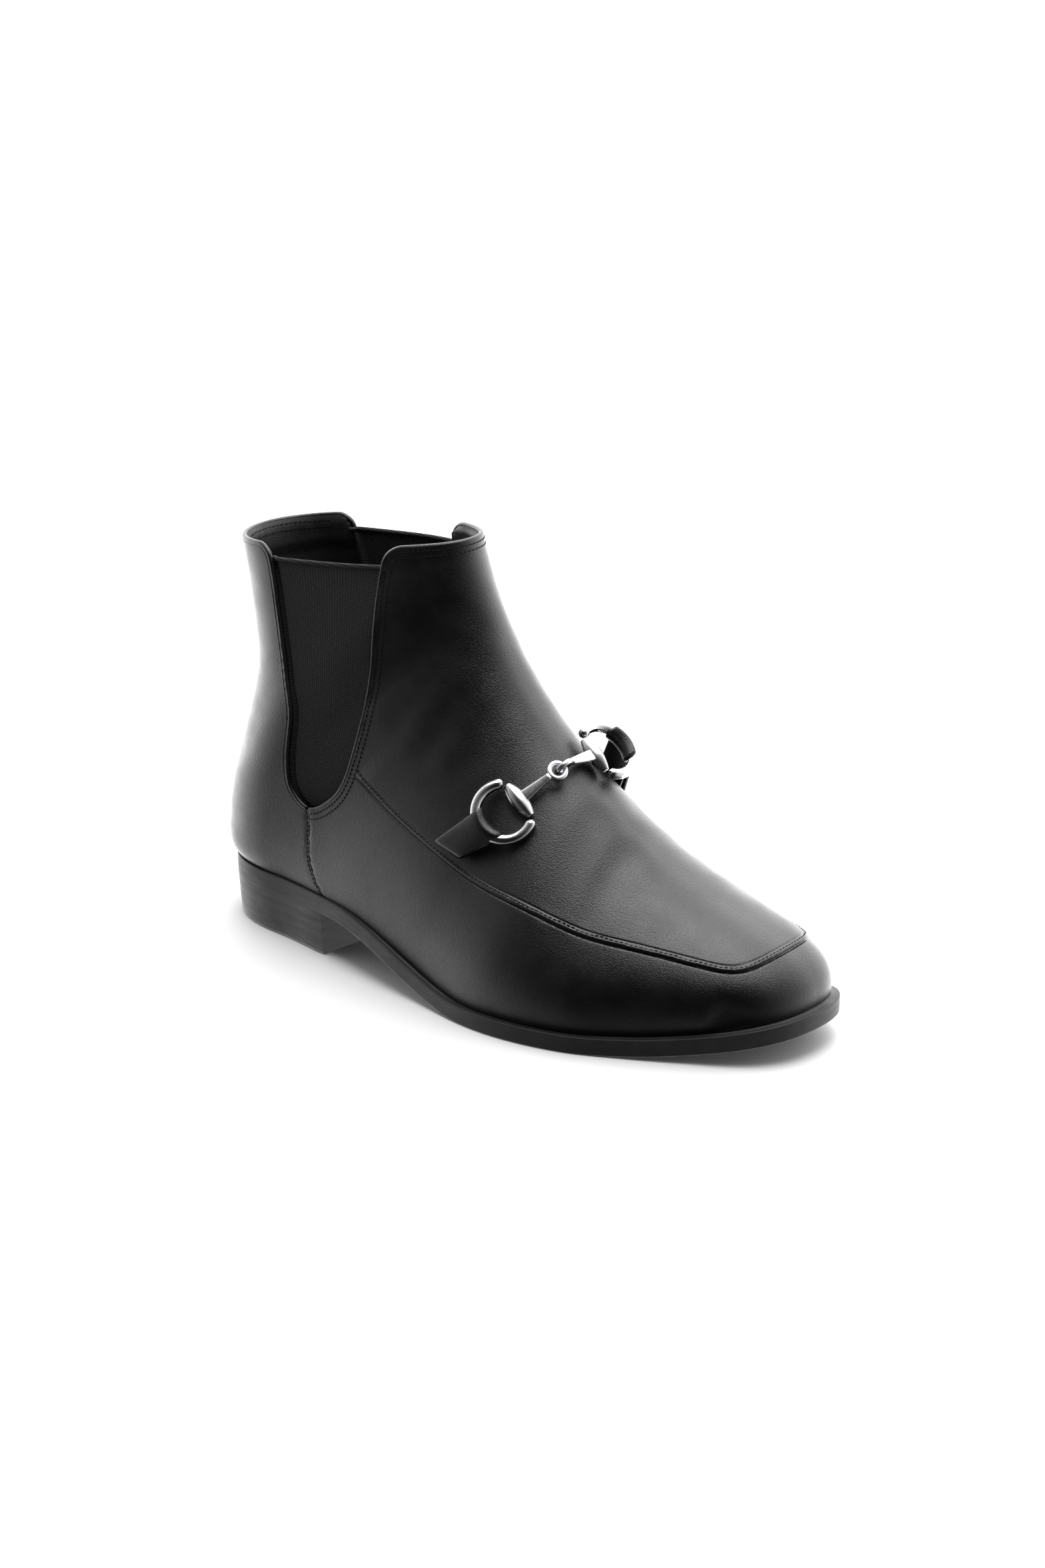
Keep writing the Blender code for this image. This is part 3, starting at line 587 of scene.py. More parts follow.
def end_taper(count, radius, step):
    """Radii of a bar that ends in two half balls, for points step apart."""
    distance = step * np.minimum(np.arange(count), np.arange(count)[::-1])
    return radius * np.sqrt(np.clip(1 - (1 - np.clip(distance / radius, 0.02, 1)) ** 2, 0, 1))


def joined(parts):
    """Points and faces of several meshes as one."""
    points = []
    faces = []
    start = 0
    for part_points, part_faces in parts:
        points.append(part_points)
        faces += [[corner + start for corner in face] for face in part_faces]
        start += len(part_points)
    return np.concatenate(points), faces


# The upper's surface

SEAM_OFFSETS = np.array([
    -5, -4, -3.2, -2.6, -2.1, -1.75, -1.5, -1.25, -1.0, -0.75, -0.5, -0.25, 0, 0.3, 0.6, 0.9, 1.15,
    1.4, 1.6, 1.75, 1.9, 2.05, 2.2, 2.4, 2.7, 3.2, 4, 5,
])
CROWDING = 1.2
SIDE_COLUMNS = 44
TOP_COLUMNS = 30
TOE_LINES = np.concatenate([
    np.linspace(-1, -0.42, 32)[:-1], np.linspace(-0.42, -0.12, 56)[:-1], np.linspace(-0.12, 0, 12)[:-1],
])
FOOT_LINES = np.concatenate([np.arange(0, 6, 0.045), np.linspace(6, HEEL_ROW, 36)[:-1]])
SHAFT_LINES = np.linspace(HEEL_ROW, LAST_ROW, 105)


class Sheet:
    """A grid of lines on the last, with each point's line v and outward normal."""

    def __init__(self, lines, side_columns, top_columns, seam_offsets):
        grid = []
        for v in lines:
            right, left = [self.half(v, side, side_columns, top_columns, seam_offsets) for side in (-1, 1)]
            grid.append(np.concatenate([right, left[::-1][1:]]))
        self.points = np.array(grid)
        self.smooth_join(lines)
        self.size = self.points.shape[:2]
        self.v = np.repeat(lines[:, None], self.size[1], axis=1)
        self.normals = self.outward()

    @staticmethod
    def half(v, side, side_columns, top_columns, seam_offsets):
        """One half of line v, its points spaced by length round the seam."""
        points = on_last(v, SAMPLES, side)
        length = lengths(points)
        seam = np.interp(seam_share(v), SAMPLES, length)
        low = (seam + seam_offsets[0]) * np.linspace(0, 1, side_columns)[:-1] ** CROWDING
        top = seam + seam_offsets[-1]
        high = length[-1] - (length[-1] - top) * np.linspace(1, 0, top_columns)[1:] ** CROWDING
        places = np.concatenate([low, seam + seam_offsets, high])
        return at_lengths(places, length, points)

    def smooth_join(self, lines):
        """Rounds the slight corner along the line where the toe joins the foot."""
        away = np.where(lines < 0, -lines * TOE_LINE_LENGTH, lines * ROW_LENGTH)
        weight = bump(away, JOIN_WIDTH)[1:-1, None, None]
        for _ in range(JOIN_PASSES):
            bend = self.points[:-2] + self.points[2:] - 2 * self.points[1:-1]
            self.points[1:-1] += weight * bend / 4

    def outward(self):
        """Unit normals, from the neighbours of each point, joined across the back."""
        along = np.gradient(self.points, axis=0)
        across = np.gradient(self.points, axis=1)
        loops = self.v[:, 0] >= HEEL_ROW
        wrap = self.points[loops, 1] - self.points[loops, -2]
        across[loops, 0] = wrap
        across[loops, -1] = wrap
        normal = unit(np.cross(unit(across), unit(along)))
        weak = np.linalg.norm(normal, axis=2) < 0.5
        for column, inner in ((0, 1), (-1, -2)):
            normal[weak[:, column], column] = normal[weak[:, column], inner]
        return normal

    def from_seam(self, seam):
        """Distance of each point from the apron's seam, above 0 within the apron."""
        tree = tree_of(seam)
        points = self.points.reshape(-1, 3)
        found = [tree.find(point) for point in points]
        index = np.array([hit[1] for hit in found])
        left = np.cross(self.normals.reshape(-1, 3), np.gradient(seam, axis=0)[index])
        ahead = ((points - seam[index]) * left).sum(axis=1)
        distance = np.array([hit[2] for hit in found])
        return np.where(ahead > 0, distance, -distance).reshape(self.size)


def tree_of(path):
    """A search tree of a path's points."""
    tree = KDTree(len(path))
    for i, point in enumerate(path):
        tree.insert(point, i)
    tree.balance()
    return tree


def nearest(path, points):
    """Distance of each point from a path that is given as close points."""
    tree = tree_of(path)
    flat = points.reshape(-1, 3)
    return np.array([tree.find(point)[2] for point in flat]).reshape(points.shape[:-1])


def bump(distance, width):
    """A soft hill, 1 in its middle and 0 from about 2.5 widths away."""
    return np.exp(-((distance / width) ** 2))


# Soft troughs of the leather: line and share at both ends, side, depth and width. Each has
# a shoulder on both sides, in shares of its depth and width
SHOULDER = 0.6
SHOULDER_AT = 1.9
SHOULDER_WIDTH = 0.8
CREASE_POINTS = 24
CREASES = (
    (7.6, 0.66, 9.6, 0.86, -1, 0.13, 5.0),
    (7.0, 0.74, 8.0, 0.95, -1, 0.10, 4.0),
    (6.2, 0.72, 6.8, 0.97, -1, 0.13, 5.0),
    (5.4, 0.70, 5.9, 0.96, -1, 0.11, 4.5),
    (4.7, 0.74, 4.9, 0.97, -1, 0.08, 4.0),
    (7.4, 0.66, 9.2, 0.88, 1, 0.12, 5.0),
    (6.4, 0.70, 6.9, 0.95, 1, 0.13, 5.0),
    (5.3, 0.72, 5.7, 0.96, 1, 0.10, 4.5),
    (8.6, 0.12, 9.4, 0.30, -1, 0.11, 5.0),
    (8.4, 0.12, 9.2, 0.30, 1, 0.11, 5.0),
    (2.6, 0.66, 2.8, 0.97, -1, 0.18, 4.5),
    (2.0, 0.68, 2.1, 0.97, -1, 0.15, 4.0),
    (2.5, 0.68, 2.7, 0.97, 1, 0.18, 4.5),
)


def curve_through(points, steps):
    """A smooth open curve through points, with so many steps between each two."""
    count = (len(points) - 1) * steps + 1
    return np.array([smooth(points, u) for u in np.linspace(0, len(points) - 1, count)])


GORE_CURVE = curve_through(GORE_EDGE, 10)
GORE_BOTTOM = int(np.argmin(GORE_CURVE[:, 1]))
GORE_REAR = GORE_CURVE[: GORE_BOTTOM + 1][::-1]
GORE_FRONT = GORE_CURVE[GORE_BOTTOM:]
COLLAR = SECTIONS["collar"]


def gore_limits(z):
    """x of a gore's rear and front edge at height z."""
    return [np.interp(z, edge[:, 1], edge[:, 0]) for edge in (GORE_REAR, GORE_FRONT)]


def open_gores(points, faces):
    """A sheet with both gore openings cut, and their edges drawn to the outline."""
    points = points.copy()
    rear, front = gore_limits(points[:, 2])
    inside = (points[:, 0] > rear) & (points[:, 0] < front) & (points[:, 2] > GORE_FRONT[0, 1])
    faces = faces[~inside[faces].all(axis=1)]
    edge = np.setdiff1d(np.unique(faces[inside[faces].any(axis=1)]), np.nonzero(~inside)[0])
    tree = tree_of(resampled(np.insert(GORE_CURVE, 1, 0, axis=1), 0.1))
    for i in edge:
        found = tree.find((points[i, 0], 0, points[i, 2]))[0]
        points[i, 0], points[i, 2] = found[0], found[2]
    return points, faces


class Leather:
    """The outer leather before the gores are cut out of it, to lay paths, gores and stitches on."""

    def __init__(self, points, faces):
        self.tree = BVHTree.FromPolygons(points.tolist(), faces.tolist())

    def at_side(self, curve, side):
        """Points of the leather that a side-view curve of (x, z) meets on one side."""
        found = []
        for x, z in curve:
            hit = self.tree.ray_cast(Vector((x, side * 100, z)), Vector((0, -side, 0)))[0]
            if hit is not None:
                found.append(hit)
        return np.array(found)

    def settle(self, path):
        """The nearest points of the leather to a path, and its normals there."""
        found = [self.tree.find_nearest(Vector(point)) for point in path]
        normals = softened(np.array([hit[1] for hit in found]), 3)
        return np.array([hit[0] for hit in found]), unit(normals)

    def beside(self, path, distance):
        """A path moved along the leather, to the left of its direction."""
        points, normals = self.settle(path)
        left = unit(np.cross(normals, np.gradient(points, axis=0)))
        return self.settle(points + distance * left)[0]


def build_upper(leather):
    """The outer leather: the last's surface with the apron's step and groove, and soft troughs."""
    lines = np.concatenate([TOE_LINES, FOOT_LINES, SHAFT_LINES])
    sheet = Sheet(lines, SIDE_COLUMNS, TOP_COLUMNS, SEAM_OFFSETS)
    faces = sheet_faces(*sheet.size)
    plain = Leather(sheet.points.reshape(-1, 3), faces)
    seam = plain.settle(softened(resampled(seam_path(), SEAM_POINTS), SEAM_SOFTNESS))[0]
    distance = sheet.from_seam(resampled(seam, SEAM_FINE))
    step = APRON_RISE * np.exp(-np.maximum(distance, 0) / APRON_FALL) * (distance > 0)
    groove = sum(depth * bump(distance - at, width) for at, depth, width in SEAM_GROOVES)
    rise = (step - groove) * np.clip((SEAM_END_ROW - sheet.v) / SEAM_FADE, 0, 1)
    for side in (-1, 1):
        ahead = side_seam_distance(sheet, side)
        rise += SIDE_RISE * np.exp(-np.maximum(ahead, 0) / SIDE_FALL) * (ahead > 0)
        rise -= SIDE_GROOVE * bump(ahead + SIDE_GROOVE_WIDTH, SIDE_GROOVE_WIDTH)
    for v0, h0, v1, h1, side, depth, width in CREASES:
        places = zip(np.linspace(v0, v1, CREASE_POINTS), np.linspace(h0, h1, CREASE_POINTS))
        path = np.array([on_last(v, np.array([h]), side)[0] for v, h in places])
        away = nearest(resampled(path, 1.0), sheet.points)
        shoulder = bump(away - SHOULDER_AT * width, SHOULDER_WIDTH * width)
        rise -= depth * (bump(away, width) - SHOULDER * shoulder)
    points = (sheet.points + rise[..., None] * sheet.normals).reshape(-1, 3)
    piece("upper_leather", *open_gores(points, faces), leather, "leather", "upper")
    return Leather(points, faces), seam


def side_seam_distance(sheet, side):
    """Distance ahead of the side seam on one side, far behind it elsewhere."""
    x, y, z = np.moveaxis(sheet.points, -1, 0)
    seam = np.array(SIDE_SEAM)
    ahead = x - np.interp(z, seam[::-1, 1], seam[::-1, 0])
    reach = (z < seam[0, 1]) & (y * side > 0) & (np.abs(ahead) < SIDE_REACH)
    return np.where(reach, ahead, -1000)


# Edges and stitches

def collar_share(x):
    """Share of the way along the uncut collar, back to front, at x."""
    return (x - COLLAR[0]) / (COLLAR[2] - COLLAR[0])


def gore_edge(leather, side, rear):
    """One gore's front or rear edge on the leather, from the bottom to the collar."""
    curve = GORE_REAR if rear else GORE_FRONT
    collar_z = COLLAR[1] + (COLLAR[3] - COLLAR[1]) * collar_share(curve[:, 0])
    low = curve[:, 1] < collar_z - 0.1
    return leather.at_side(curve[low], side)


def collar_edge(start, rear):
    """The front or rear piece's edge at the collar, from x at start on the right to it on the left."""
    shares = np.linspace(collar_share(start), 0 if rear else 1, 60)[1:]
    return np.concatenate([section(LAST_ROW, shares, -1), section(LAST_ROW, shares, 1)[::-1][1:]])


def free_edge(leather, rear):
    """The free edge of the front or rear piece: up the right gore, along the collar, down the left."""
    right = gore_edge(leather, -1, rear)
    left = gore_edge(leather, 1, rear)
    path = np.concatenate([right, collar_edge(right[-1, 0], rear), left[::-1]])
    return softened(resampled(path, EDGE_POINTS), 4)


def rolled(leather, path, radius, depth, sides=10):
    """A rolled edge along a path, its middle a little under the leather's surface."""
    points, normals = leather.settle(path)
    return sweep(points - depth * normals, normals, *round_ring(radius, sides))


def ball(around, rings):
    """Points and faces of a unit ball, long along x."""
    turns = np.linspace(0, 2 * math.pi, around, endpoint=False)
    lifts = np.linspace(-0.98, 0.98, rings) * math.pi / 2
    points = [
        np.stack([np.full(around, math.sin(a)), math.cos(a) * np.cos(turns), math.cos(a) * np.sin(turns)], 1)
        for a in lifts
    ]
    return np.concatenate(points), loop_faces(rings, around) + ends(rings, around)


def stitches(leather, paths, lift=STITCH_LIFT):
    """Threads along paths on the leather, one mesh."""
    shape, shape_faces = ball(8, 6)
    parts = []
    for path in paths:
        middle, up = leather.settle(resampled(path, STITCH_PITCH))
        along = unit(np.gradient(middle, axis=0))
        across = unit(np.cross(up, along))
        along = unit(along + STITCH_TILT * across)
        across = unit(np.cross(up, along))
        for at, a, b, c in zip(middle + lift * STITCH_RADIUS * up, along, across, up):
            axes = np.stack([a * STITCH_LENGTH / 2, b * STITCH_RADIUS, c * STITCH_RADIUS])
            parts.append((at + shape @ axes, shape_faces))
    return joined(parts)


def build_edges(leather, seam, hide, thread):
    """Rolled edges of the collar and gores, the apron's cord, the side seams, and the stitch rows."""
    front = free_edge(leather, rear=False)
    rear = free_edge(leather, rear=True)
    parts = []
    for path in (front, rear):
        radii = end_taper(len(path), ROLL_RADIUS, EDGE_POINTS)
        parts.append(rolled(leather, path, radii, ROLL_RADIUS * ROLL_SINK))
    line = leather.beside(rear, REAR_LINE)
    parts.append(rolled(leather, line, end_taper(len(line), REAR_LINE_RADIUS, EDGE_POINTS), 0, 6))
    piece("edge_rolls", *joined(parts), hide, "leather")
    size = np.clip(np.minimum(np.arange(len(seam)), np.arange(len(seam))[::-1]) / CORD_GROWTH, 0, 1)
    radii = CORD_RADII[0] + (CORD_RADII[1] - CORD_RADII[0]) * eased(size)
    piece("apron_cord", *rolled(leather, seam, radii, CORD_DEPTH), hide, "leather")
    curve = curve_through(SIDE_SEAM, 12)
    sides = [resampled(leather.at_side(curve, side), SEAM_POINTS) for side in (-1, 1)]
    parts = []
    for path in sides:
        parts.append(rolled(leather, path, end_taper(len(path), SIDE_ROLL, SEAM_POINTS), SIDE_DEPTH))
    piece("side_seams", *joined(parts), hide, "leather")
    rows = [leather.beside(seam, SEAM_STITCH)]
    rows += [leather.beside(front, -distance) for distance in FRONT_STITCHES]
    rows += [leather.beside(path, SIDE_STITCH * side) for path, side in zip(sides, (-1, 1))]
    piece("stitches", *stitches(leather, rows), thread, "leather")


def build_gore(leather, side, name, elastic):
    """A ribbed elastic panel, sewn in behind the edges of its opening."""
    low = GORE_FRONT[0, 1] - GORE_MARGIN
    ribs = np.linspace(0, 1, GORE_RIBS * RIB_POINTS + 1)
    rows = []
    for t in np.linspace(0, 1, GORE_ROWS):
        level = low + t * (GORE_TOP_MIDDLE - low)
        rear, front = gore_limits(level)
        x = rear - GORE_MARGIN + (front - rear + 2 * GORE_MARGIN) * ribs
        top = np.interp(x, *zip(*GORE_TOP))
        rows.append(np.column_stack([x, low + t * (top - low)]))
    outside = leather.at_side(np.concatenate(rows), side).reshape(len(rows), len(ribs), 3)
    normals = unit(side * np.cross(np.gradient(outside, axis=0), np.gradient(outside, axis=1)))
    wave = RIB_HEIGHT * np.abs(np.sin(ribs * GORE_RIBS * math.pi))[None, :, None]
    inner = outside[..., 0] - outside[:, :1, 0] - GORE_MARGIN
    trough = TROUGH_DEPTH * bump(inner - TROUGH_AT, TROUGH_WIDTH)[..., None]
    panel = outside + (wave - GORE_DEPTH - trough) * normals
    faces = sheet_faces(*panel.shape[:2])
    binding = panel[-1, ::RIB_POINTS]
    ring = round_ring(np.full(len(binding), BINDING_RADIUS), 12)
    parts = [(panel.reshape(-1, 3), faces.tolist()), sweep(binding, normals[-1, ::RIB_POINTS], *ring)]
    piece(f"{name}_elastic", *joined(parts), elastic, "elastic", name)


def build_lining(lining, thread):
    """The lining inside the leather, thicker and puckered in a stitched band below the collar."""
    sheet = Sheet(LINING_LINES, 22, 16, np.array([-1.0, 1.0]))
    drop = np.linalg.norm(np.diff(sheet.points, axis=0), axis=2)[::-1].cumsum(axis=0)[::-1]
    drop = np.concatenate([drop, np.zeros((1, drop.shape[1]))])
    band = 1 - eased(np.clip((drop - BAND_WIDTH) / BAND_FADE, 0, 1))
    rim = np.linalg.norm(np.diff(sheet.points[-1], axis=0, prepend=sheet.points[-1, :1]), axis=1).cumsum()
    puckers = PUCKER_DEPTH * np.sin(2 * math.pi * rim / PUCKER_PITCH)
    swell = BAND_THICKNESS * band + puckers * bump(drop - LINING_STITCHES[1], PUCKER_WIDTH)
    depth = LINING_DEPTH + swell * eased(np.clip(drop / RIM_FADE, 0, 1))
    points = (sheet.points - depth[..., None] * sheet.normals).reshape(-1, 3)
    faces = sheet_faces(*sheet.size)
    piece("lining", *open_gores(points, faces[:, ::-1]), lining, "lining")
    inner = Leather(points, faces[:, ::-1])
    rim = resampled(collar_edge(LINING_SEAM_X, rear=True), EDGE_POINTS)
    rows = [inner.beside(rim, -distance) for distance in LINING_STITCHES]
    piece("lining_stitches", *stitches(inner, rows), thread, "lining")


# Sole, insole and heel

def plate_ring(offset, height):
    """A ring of a plate that follows the foot's side view, at a height above the sole's underside."""
    return np.column_stack([offset_loop(offset), sole_bottom(LOOP[:, 0]) + height])


def plate(rings, shift=0):
    """Points and faces of a stack of rings, both ends closed by rungs from point i to point shift - i."""
    lines = len(rings)
    count = len(rings[0])
    faces = loop_faces(lines, count)
    for start in (0, (lines - 1) * count):
        for i in range(count // 2):
            corners = (i, i + 1, (shift - i - 1) % count, (shift - i) % count)
            faces.append([start + corner for corner in corners])
    return np.concatenate(rings), faces


def build_sole(rubber):
    """The outsole, with crisp rounded corners; its edge is straight above the heel."""
    start, end = SOLE_FREE
    free = eased(np.clip((LOOP[:, 0] - start) / (end - start), 0, 1))
    rings = []
    for inset, share in SOLE_EDGE:
        drawn = inset * free if share < 0.5 else inset
        rings.append(plate_ring(LEDGE - drawn, share * SOLE_THICKNESS))
    piece("outsole_edge", *plate(rings), rubber, "sole", "outsole")


def build_insole(lining):
    """The insole, inside the upper on the sole."""
    rings = []
    for inset, height in INSOLE_EDGE:
        rings.append(plate_ring(-(WALL + INSOLE_PLAY + inset), SOLE_THICKNESS + GAP + height))
    piece("insole_cover", *plate(rings), lining, "lining", "insole")


def build_heel(rubber):
    """The heel block, flush with the sole's edge, with faint lines between its layers."""
    slope = math.tan(BREAST_SLANT)
    keep = LOOP[:, 0] < BREAST + slope * LOOP[:, 1] - BREAST_CORNER
    rings = []
    for share, inset in HEEL_EDGE:
        curve = offset_loop(LEDGE - HEEL_TAPER * share - inset)[keep]
        breast = np.array([curve[0, 1] - BREAST_FLARE, curve[-1, 1] + BREAST_FLARE])
        corners = np.column_stack([BREAST + slope * breast, breast])
        plan = np.concatenate([corners[:1], curve, corners[1:]])
        rings.append(np.column_stack([plan, sole_bottom(plan[:, 0]) * (1 - share)]))
    heel = piece("heel_block", *plate(rings, -1), rubber, "sole", "heel")
    heel.data.set_sharp_from_angle(angle=HEEL_SHARP)


# Bit and tabs

class BitFrame:
    """Axes of one half of the bit: out from the link along it, off the vamp, and forward."""

    def __init__(self, side):
        self.side = side
        near, far = [section(LINK_ROW + step, SAMPLES[-1:], side)[0] for step in (-ROW_STEP, ROW_STEP)]
        self.ahead = unit((near - far) * (1, 0, 1))
        across = side * (self.on_vamp(LINK_SPAN, LINK_ROW) - self.on_vamp(-LINK_SPAN, LINK_ROW))
        self.rise = unit(np.cross(self.ahead, across))
        self.across = side * np.cross(self.rise, self.ahead)
        self.link = self.on_vamp(0) + LINK_RISE * self.rise
        outward_step = self.on_vamp(RING_AT + LINK_SPAN) - self.on_vamp(RING_AT - LINK_SPAN)
        normal = unit(side * np.cross(self.ahead, outward_step))
        self.out = unit(self.on_vamp(RING_AT) + RING_RISES[side] * normal - self.link)
        self.forward = unit(self.ahead - self.out * (self.ahead @ self.out))
        self.off = side * np.cross(self.forward, self.out)

    def on_vamp(self, distance, row=None):
        """The vamp's point at a distance outwards from the link, on the bit's own row or another."""
        if row is None:
            row = LINK_ROW + BIT_SLANTS[self.side] * distance
        across = self.side * distance - BIT_OFFSET
        half = section(row, SAMPLES, 1 if across > 0 else -1)[::-1]
        return at_lengths(abs(across), lengths(half), half)

    def place(self, local):
        """World points from (out, forward, off) coordinates."""
        return self.link + np.atleast_2d(local) @ np.stack([self.out, self.forward, self.off])


def build_ring(name, bit, metal):
    """One open ring of round wire with rounded ends."""
    angles = np.linspace(RING_OPEN, 2 * math.pi - RING_OPEN, 97)
    path = np.stack([RING_AT - RING_RADIUS * np.cos(angles), RING_RADIUS * np.sin(angles), 0 * angles], 1)
    radii = end_taper(len(angles), WIRE_LOOK, RING_RADIUS * (angles[1] - angles[0]))
    points, faces = sweep(path, np.array([0, 0, 1.0]), *round_ring(radii, 20))
    piece(f"ring_{name}", bit.place(points), faces, metal, "metal", f"bit_ring_{name}")


def build_bar(name, bit, upright, metal):
    """One bar: a ridged barrel between the ring's ends, a flat-sided taper and an eye."""
    places = np.sin(np.linspace(-1, 1, BARREL_POINTS) * math.pi / 2)
    path = np.stack([np.full(BARREL_POINTS, BARREL_AT), BARREL_HALF * places, 0 * places], 1)
    radii = BARREL_RADIUS * (BARREL_END + (1 - BARREL_END) * (1 - places**2))
    radii[[0, -1]] *= BARREL_TIP
    points, faces = sweep(path, np.array([0, 0, 1.0]), *round_ring(radii, 32, BARREL_POWER))
    parts = [(bit.place(points), faces)]
    across = bit.across
    centre = bit.link + EYE_RADIUS / 2 * across
    start = centre + (EYE_RADIUS + EYE_WIRE / 2) * across
    path = np.linspace(start, bit.place((BARREL_AT - 1, 0, 0))[0], TAPER_POINTS)
    widths, heights = [np.linspace(a, b, TAPER_POINTS) for a, b in zip(TAPER_SMALL, TAPER_LARGE)]
    wide = round_ring(widths, 28, TAPER_POWER)[0]
    high = round_ring(heights, 28, TAPER_POWER)[1]
    parts.append(sweep(path, bit.off, wide, high))
    second = bit.rise if upright else bit.ahead
    angles = np.linspace(0, 2 * math.pi, EYE_POINTS, endpoint=False)
    loop = centre + EYE_RADIUS * (np.cos(angles)[:, None] * across + np.sin(angles)[:, None] * second)
    ring = round_ring(np.full(EYE_POINTS, EYE_WIRE), EYE_SIDES, EYE_POWER)
    parts.append(sweep(loop, np.cross(across, second), *ring, closed=True))
    piece(f"bar_{name}", *joined(parts), metal, "metal", f"bit_bar_{name}")


def tab_line(bit, share):
    """The tab's foot, bend and root on the vamp, and its middle line, at a share of its half width."""
    w = share * TAB_HALF_WIDTH
    wire_at = RING_AT + RING_RADIUS
    ring_row = LINK_ROW + BIT_SLANTS[bit.side] * wire_at
    lean = (TAB_ROWS[bit.side] - ring_row) / (TAB_ENDS[bit.side] - wire_at)
    anchors = []
    for back in TAB_PLACES:
        row = TAB_ROWS[bit.side] - lean * back - w / ROW_LENGTH
        anchors.append(bit.on_vamp(TAB_ENDS[bit.side] - TAB_CUT * w - back, row))
    bend = anchors[1]
    down = unit(anchors[0] - anchors[2])
    up = unit(bit.side * np.cross(bit.forward, down))
    wire_at -= RING_RADIUS - math.sqrt(RING_RADIUS**2 - w**2)
    fold = WIRE_RADIUS + SLOT_PLAY + TAB_LEATHER / 2
    turn = np.linspace(1.5 * math.pi, math.pi / 2, 9)
    loop = np.stack([wire_at + fold * np.cos(turn), np.full(9, w), fold * np.sin(turn)], 1)
    under = [anchor + rise * up for anchor, rise in zip(anchors, TAB_RISES)]
    under += [*bit.place((wire_at + TAB_APPROACH, w, -fold))]
    tuck = [bend + along * down + rise * up for along, rise in TAB_TUCK]
    top = bit.place((wire_at, w, fold))[0]
    strip = [top + (tuck[0] - top) * part for part in (0.25, 0.5, 0.75)]
    line = curve_through(np.concatenate([under, bit.place(loop), strip, tuck]), 6)
    return anchors, softened(line, TAB_SOFTNESS)


def build_tab(name, bit, leather, hide, thread):
    """The leather tab: sewn flat inside the apron's seam, doubled back and folded round the ring."""
    middle = np.array([tab_line(bit, share)[1] for share in TAB_COLUMNS]).transpose(1, 0, 2)
    normals = unit(np.cross(np.gradient(middle, axis=1), np.gradient(middle, axis=0)))
    thickness = TAB_LEATHER / 2 * np.sqrt(1 - np.abs(np.array(TAB_COLUMNS)) ** TAB_EDGE_POWER)
    offset = thickness[None, :, None] * normals
    rings = np.concatenate([middle + offset, (middle - offset)[:, ::-1]], axis=1)
    piece(f"tab_{name}_strap", *plate(rings, -1), hide, "leather", f"tab_{name}")
    places = np.linspace(-TAB_STITCH_REACH, TAB_STITCH_REACH, 8)
    foot, bend, _ = np.array([tab_line(bit, place)[0] for place in places]).transpose(1, 0, 2)
    rows = [foot + share * (bend - foot) for share in TAB_STITCH_ROWS]
    piece(f"tab_{name}_stitches", *stitches(leather, rows, TAB_STITCH_LIFT), thread, "leather")


# Materials

def node(tree, kind, inputs, **settings):
    """A new node, its inputs by name or number: each a value or another node's output."""
    made = tree.nodes.new(kind)
    for setting, value in settings.items():
        setattr(made, setting, value)
    for key, value in inputs.items():
        if isinstance(value, bpy.types.NodeSocket):
            tree.links.new(value, made.inputs[key])
        else:
            made.inputs[key].default_value = value
    return made


def spread(tree, value, source, target):
    """A value, with its range of source drawn out to target."""
    limits = dict(zip(("From Min", "From Max", "To Min", "To Max"), (*source, *target)))
    return node(tree, "ShaderNodeMapRange", {"Value": value, **limits}).outputs["Result"]


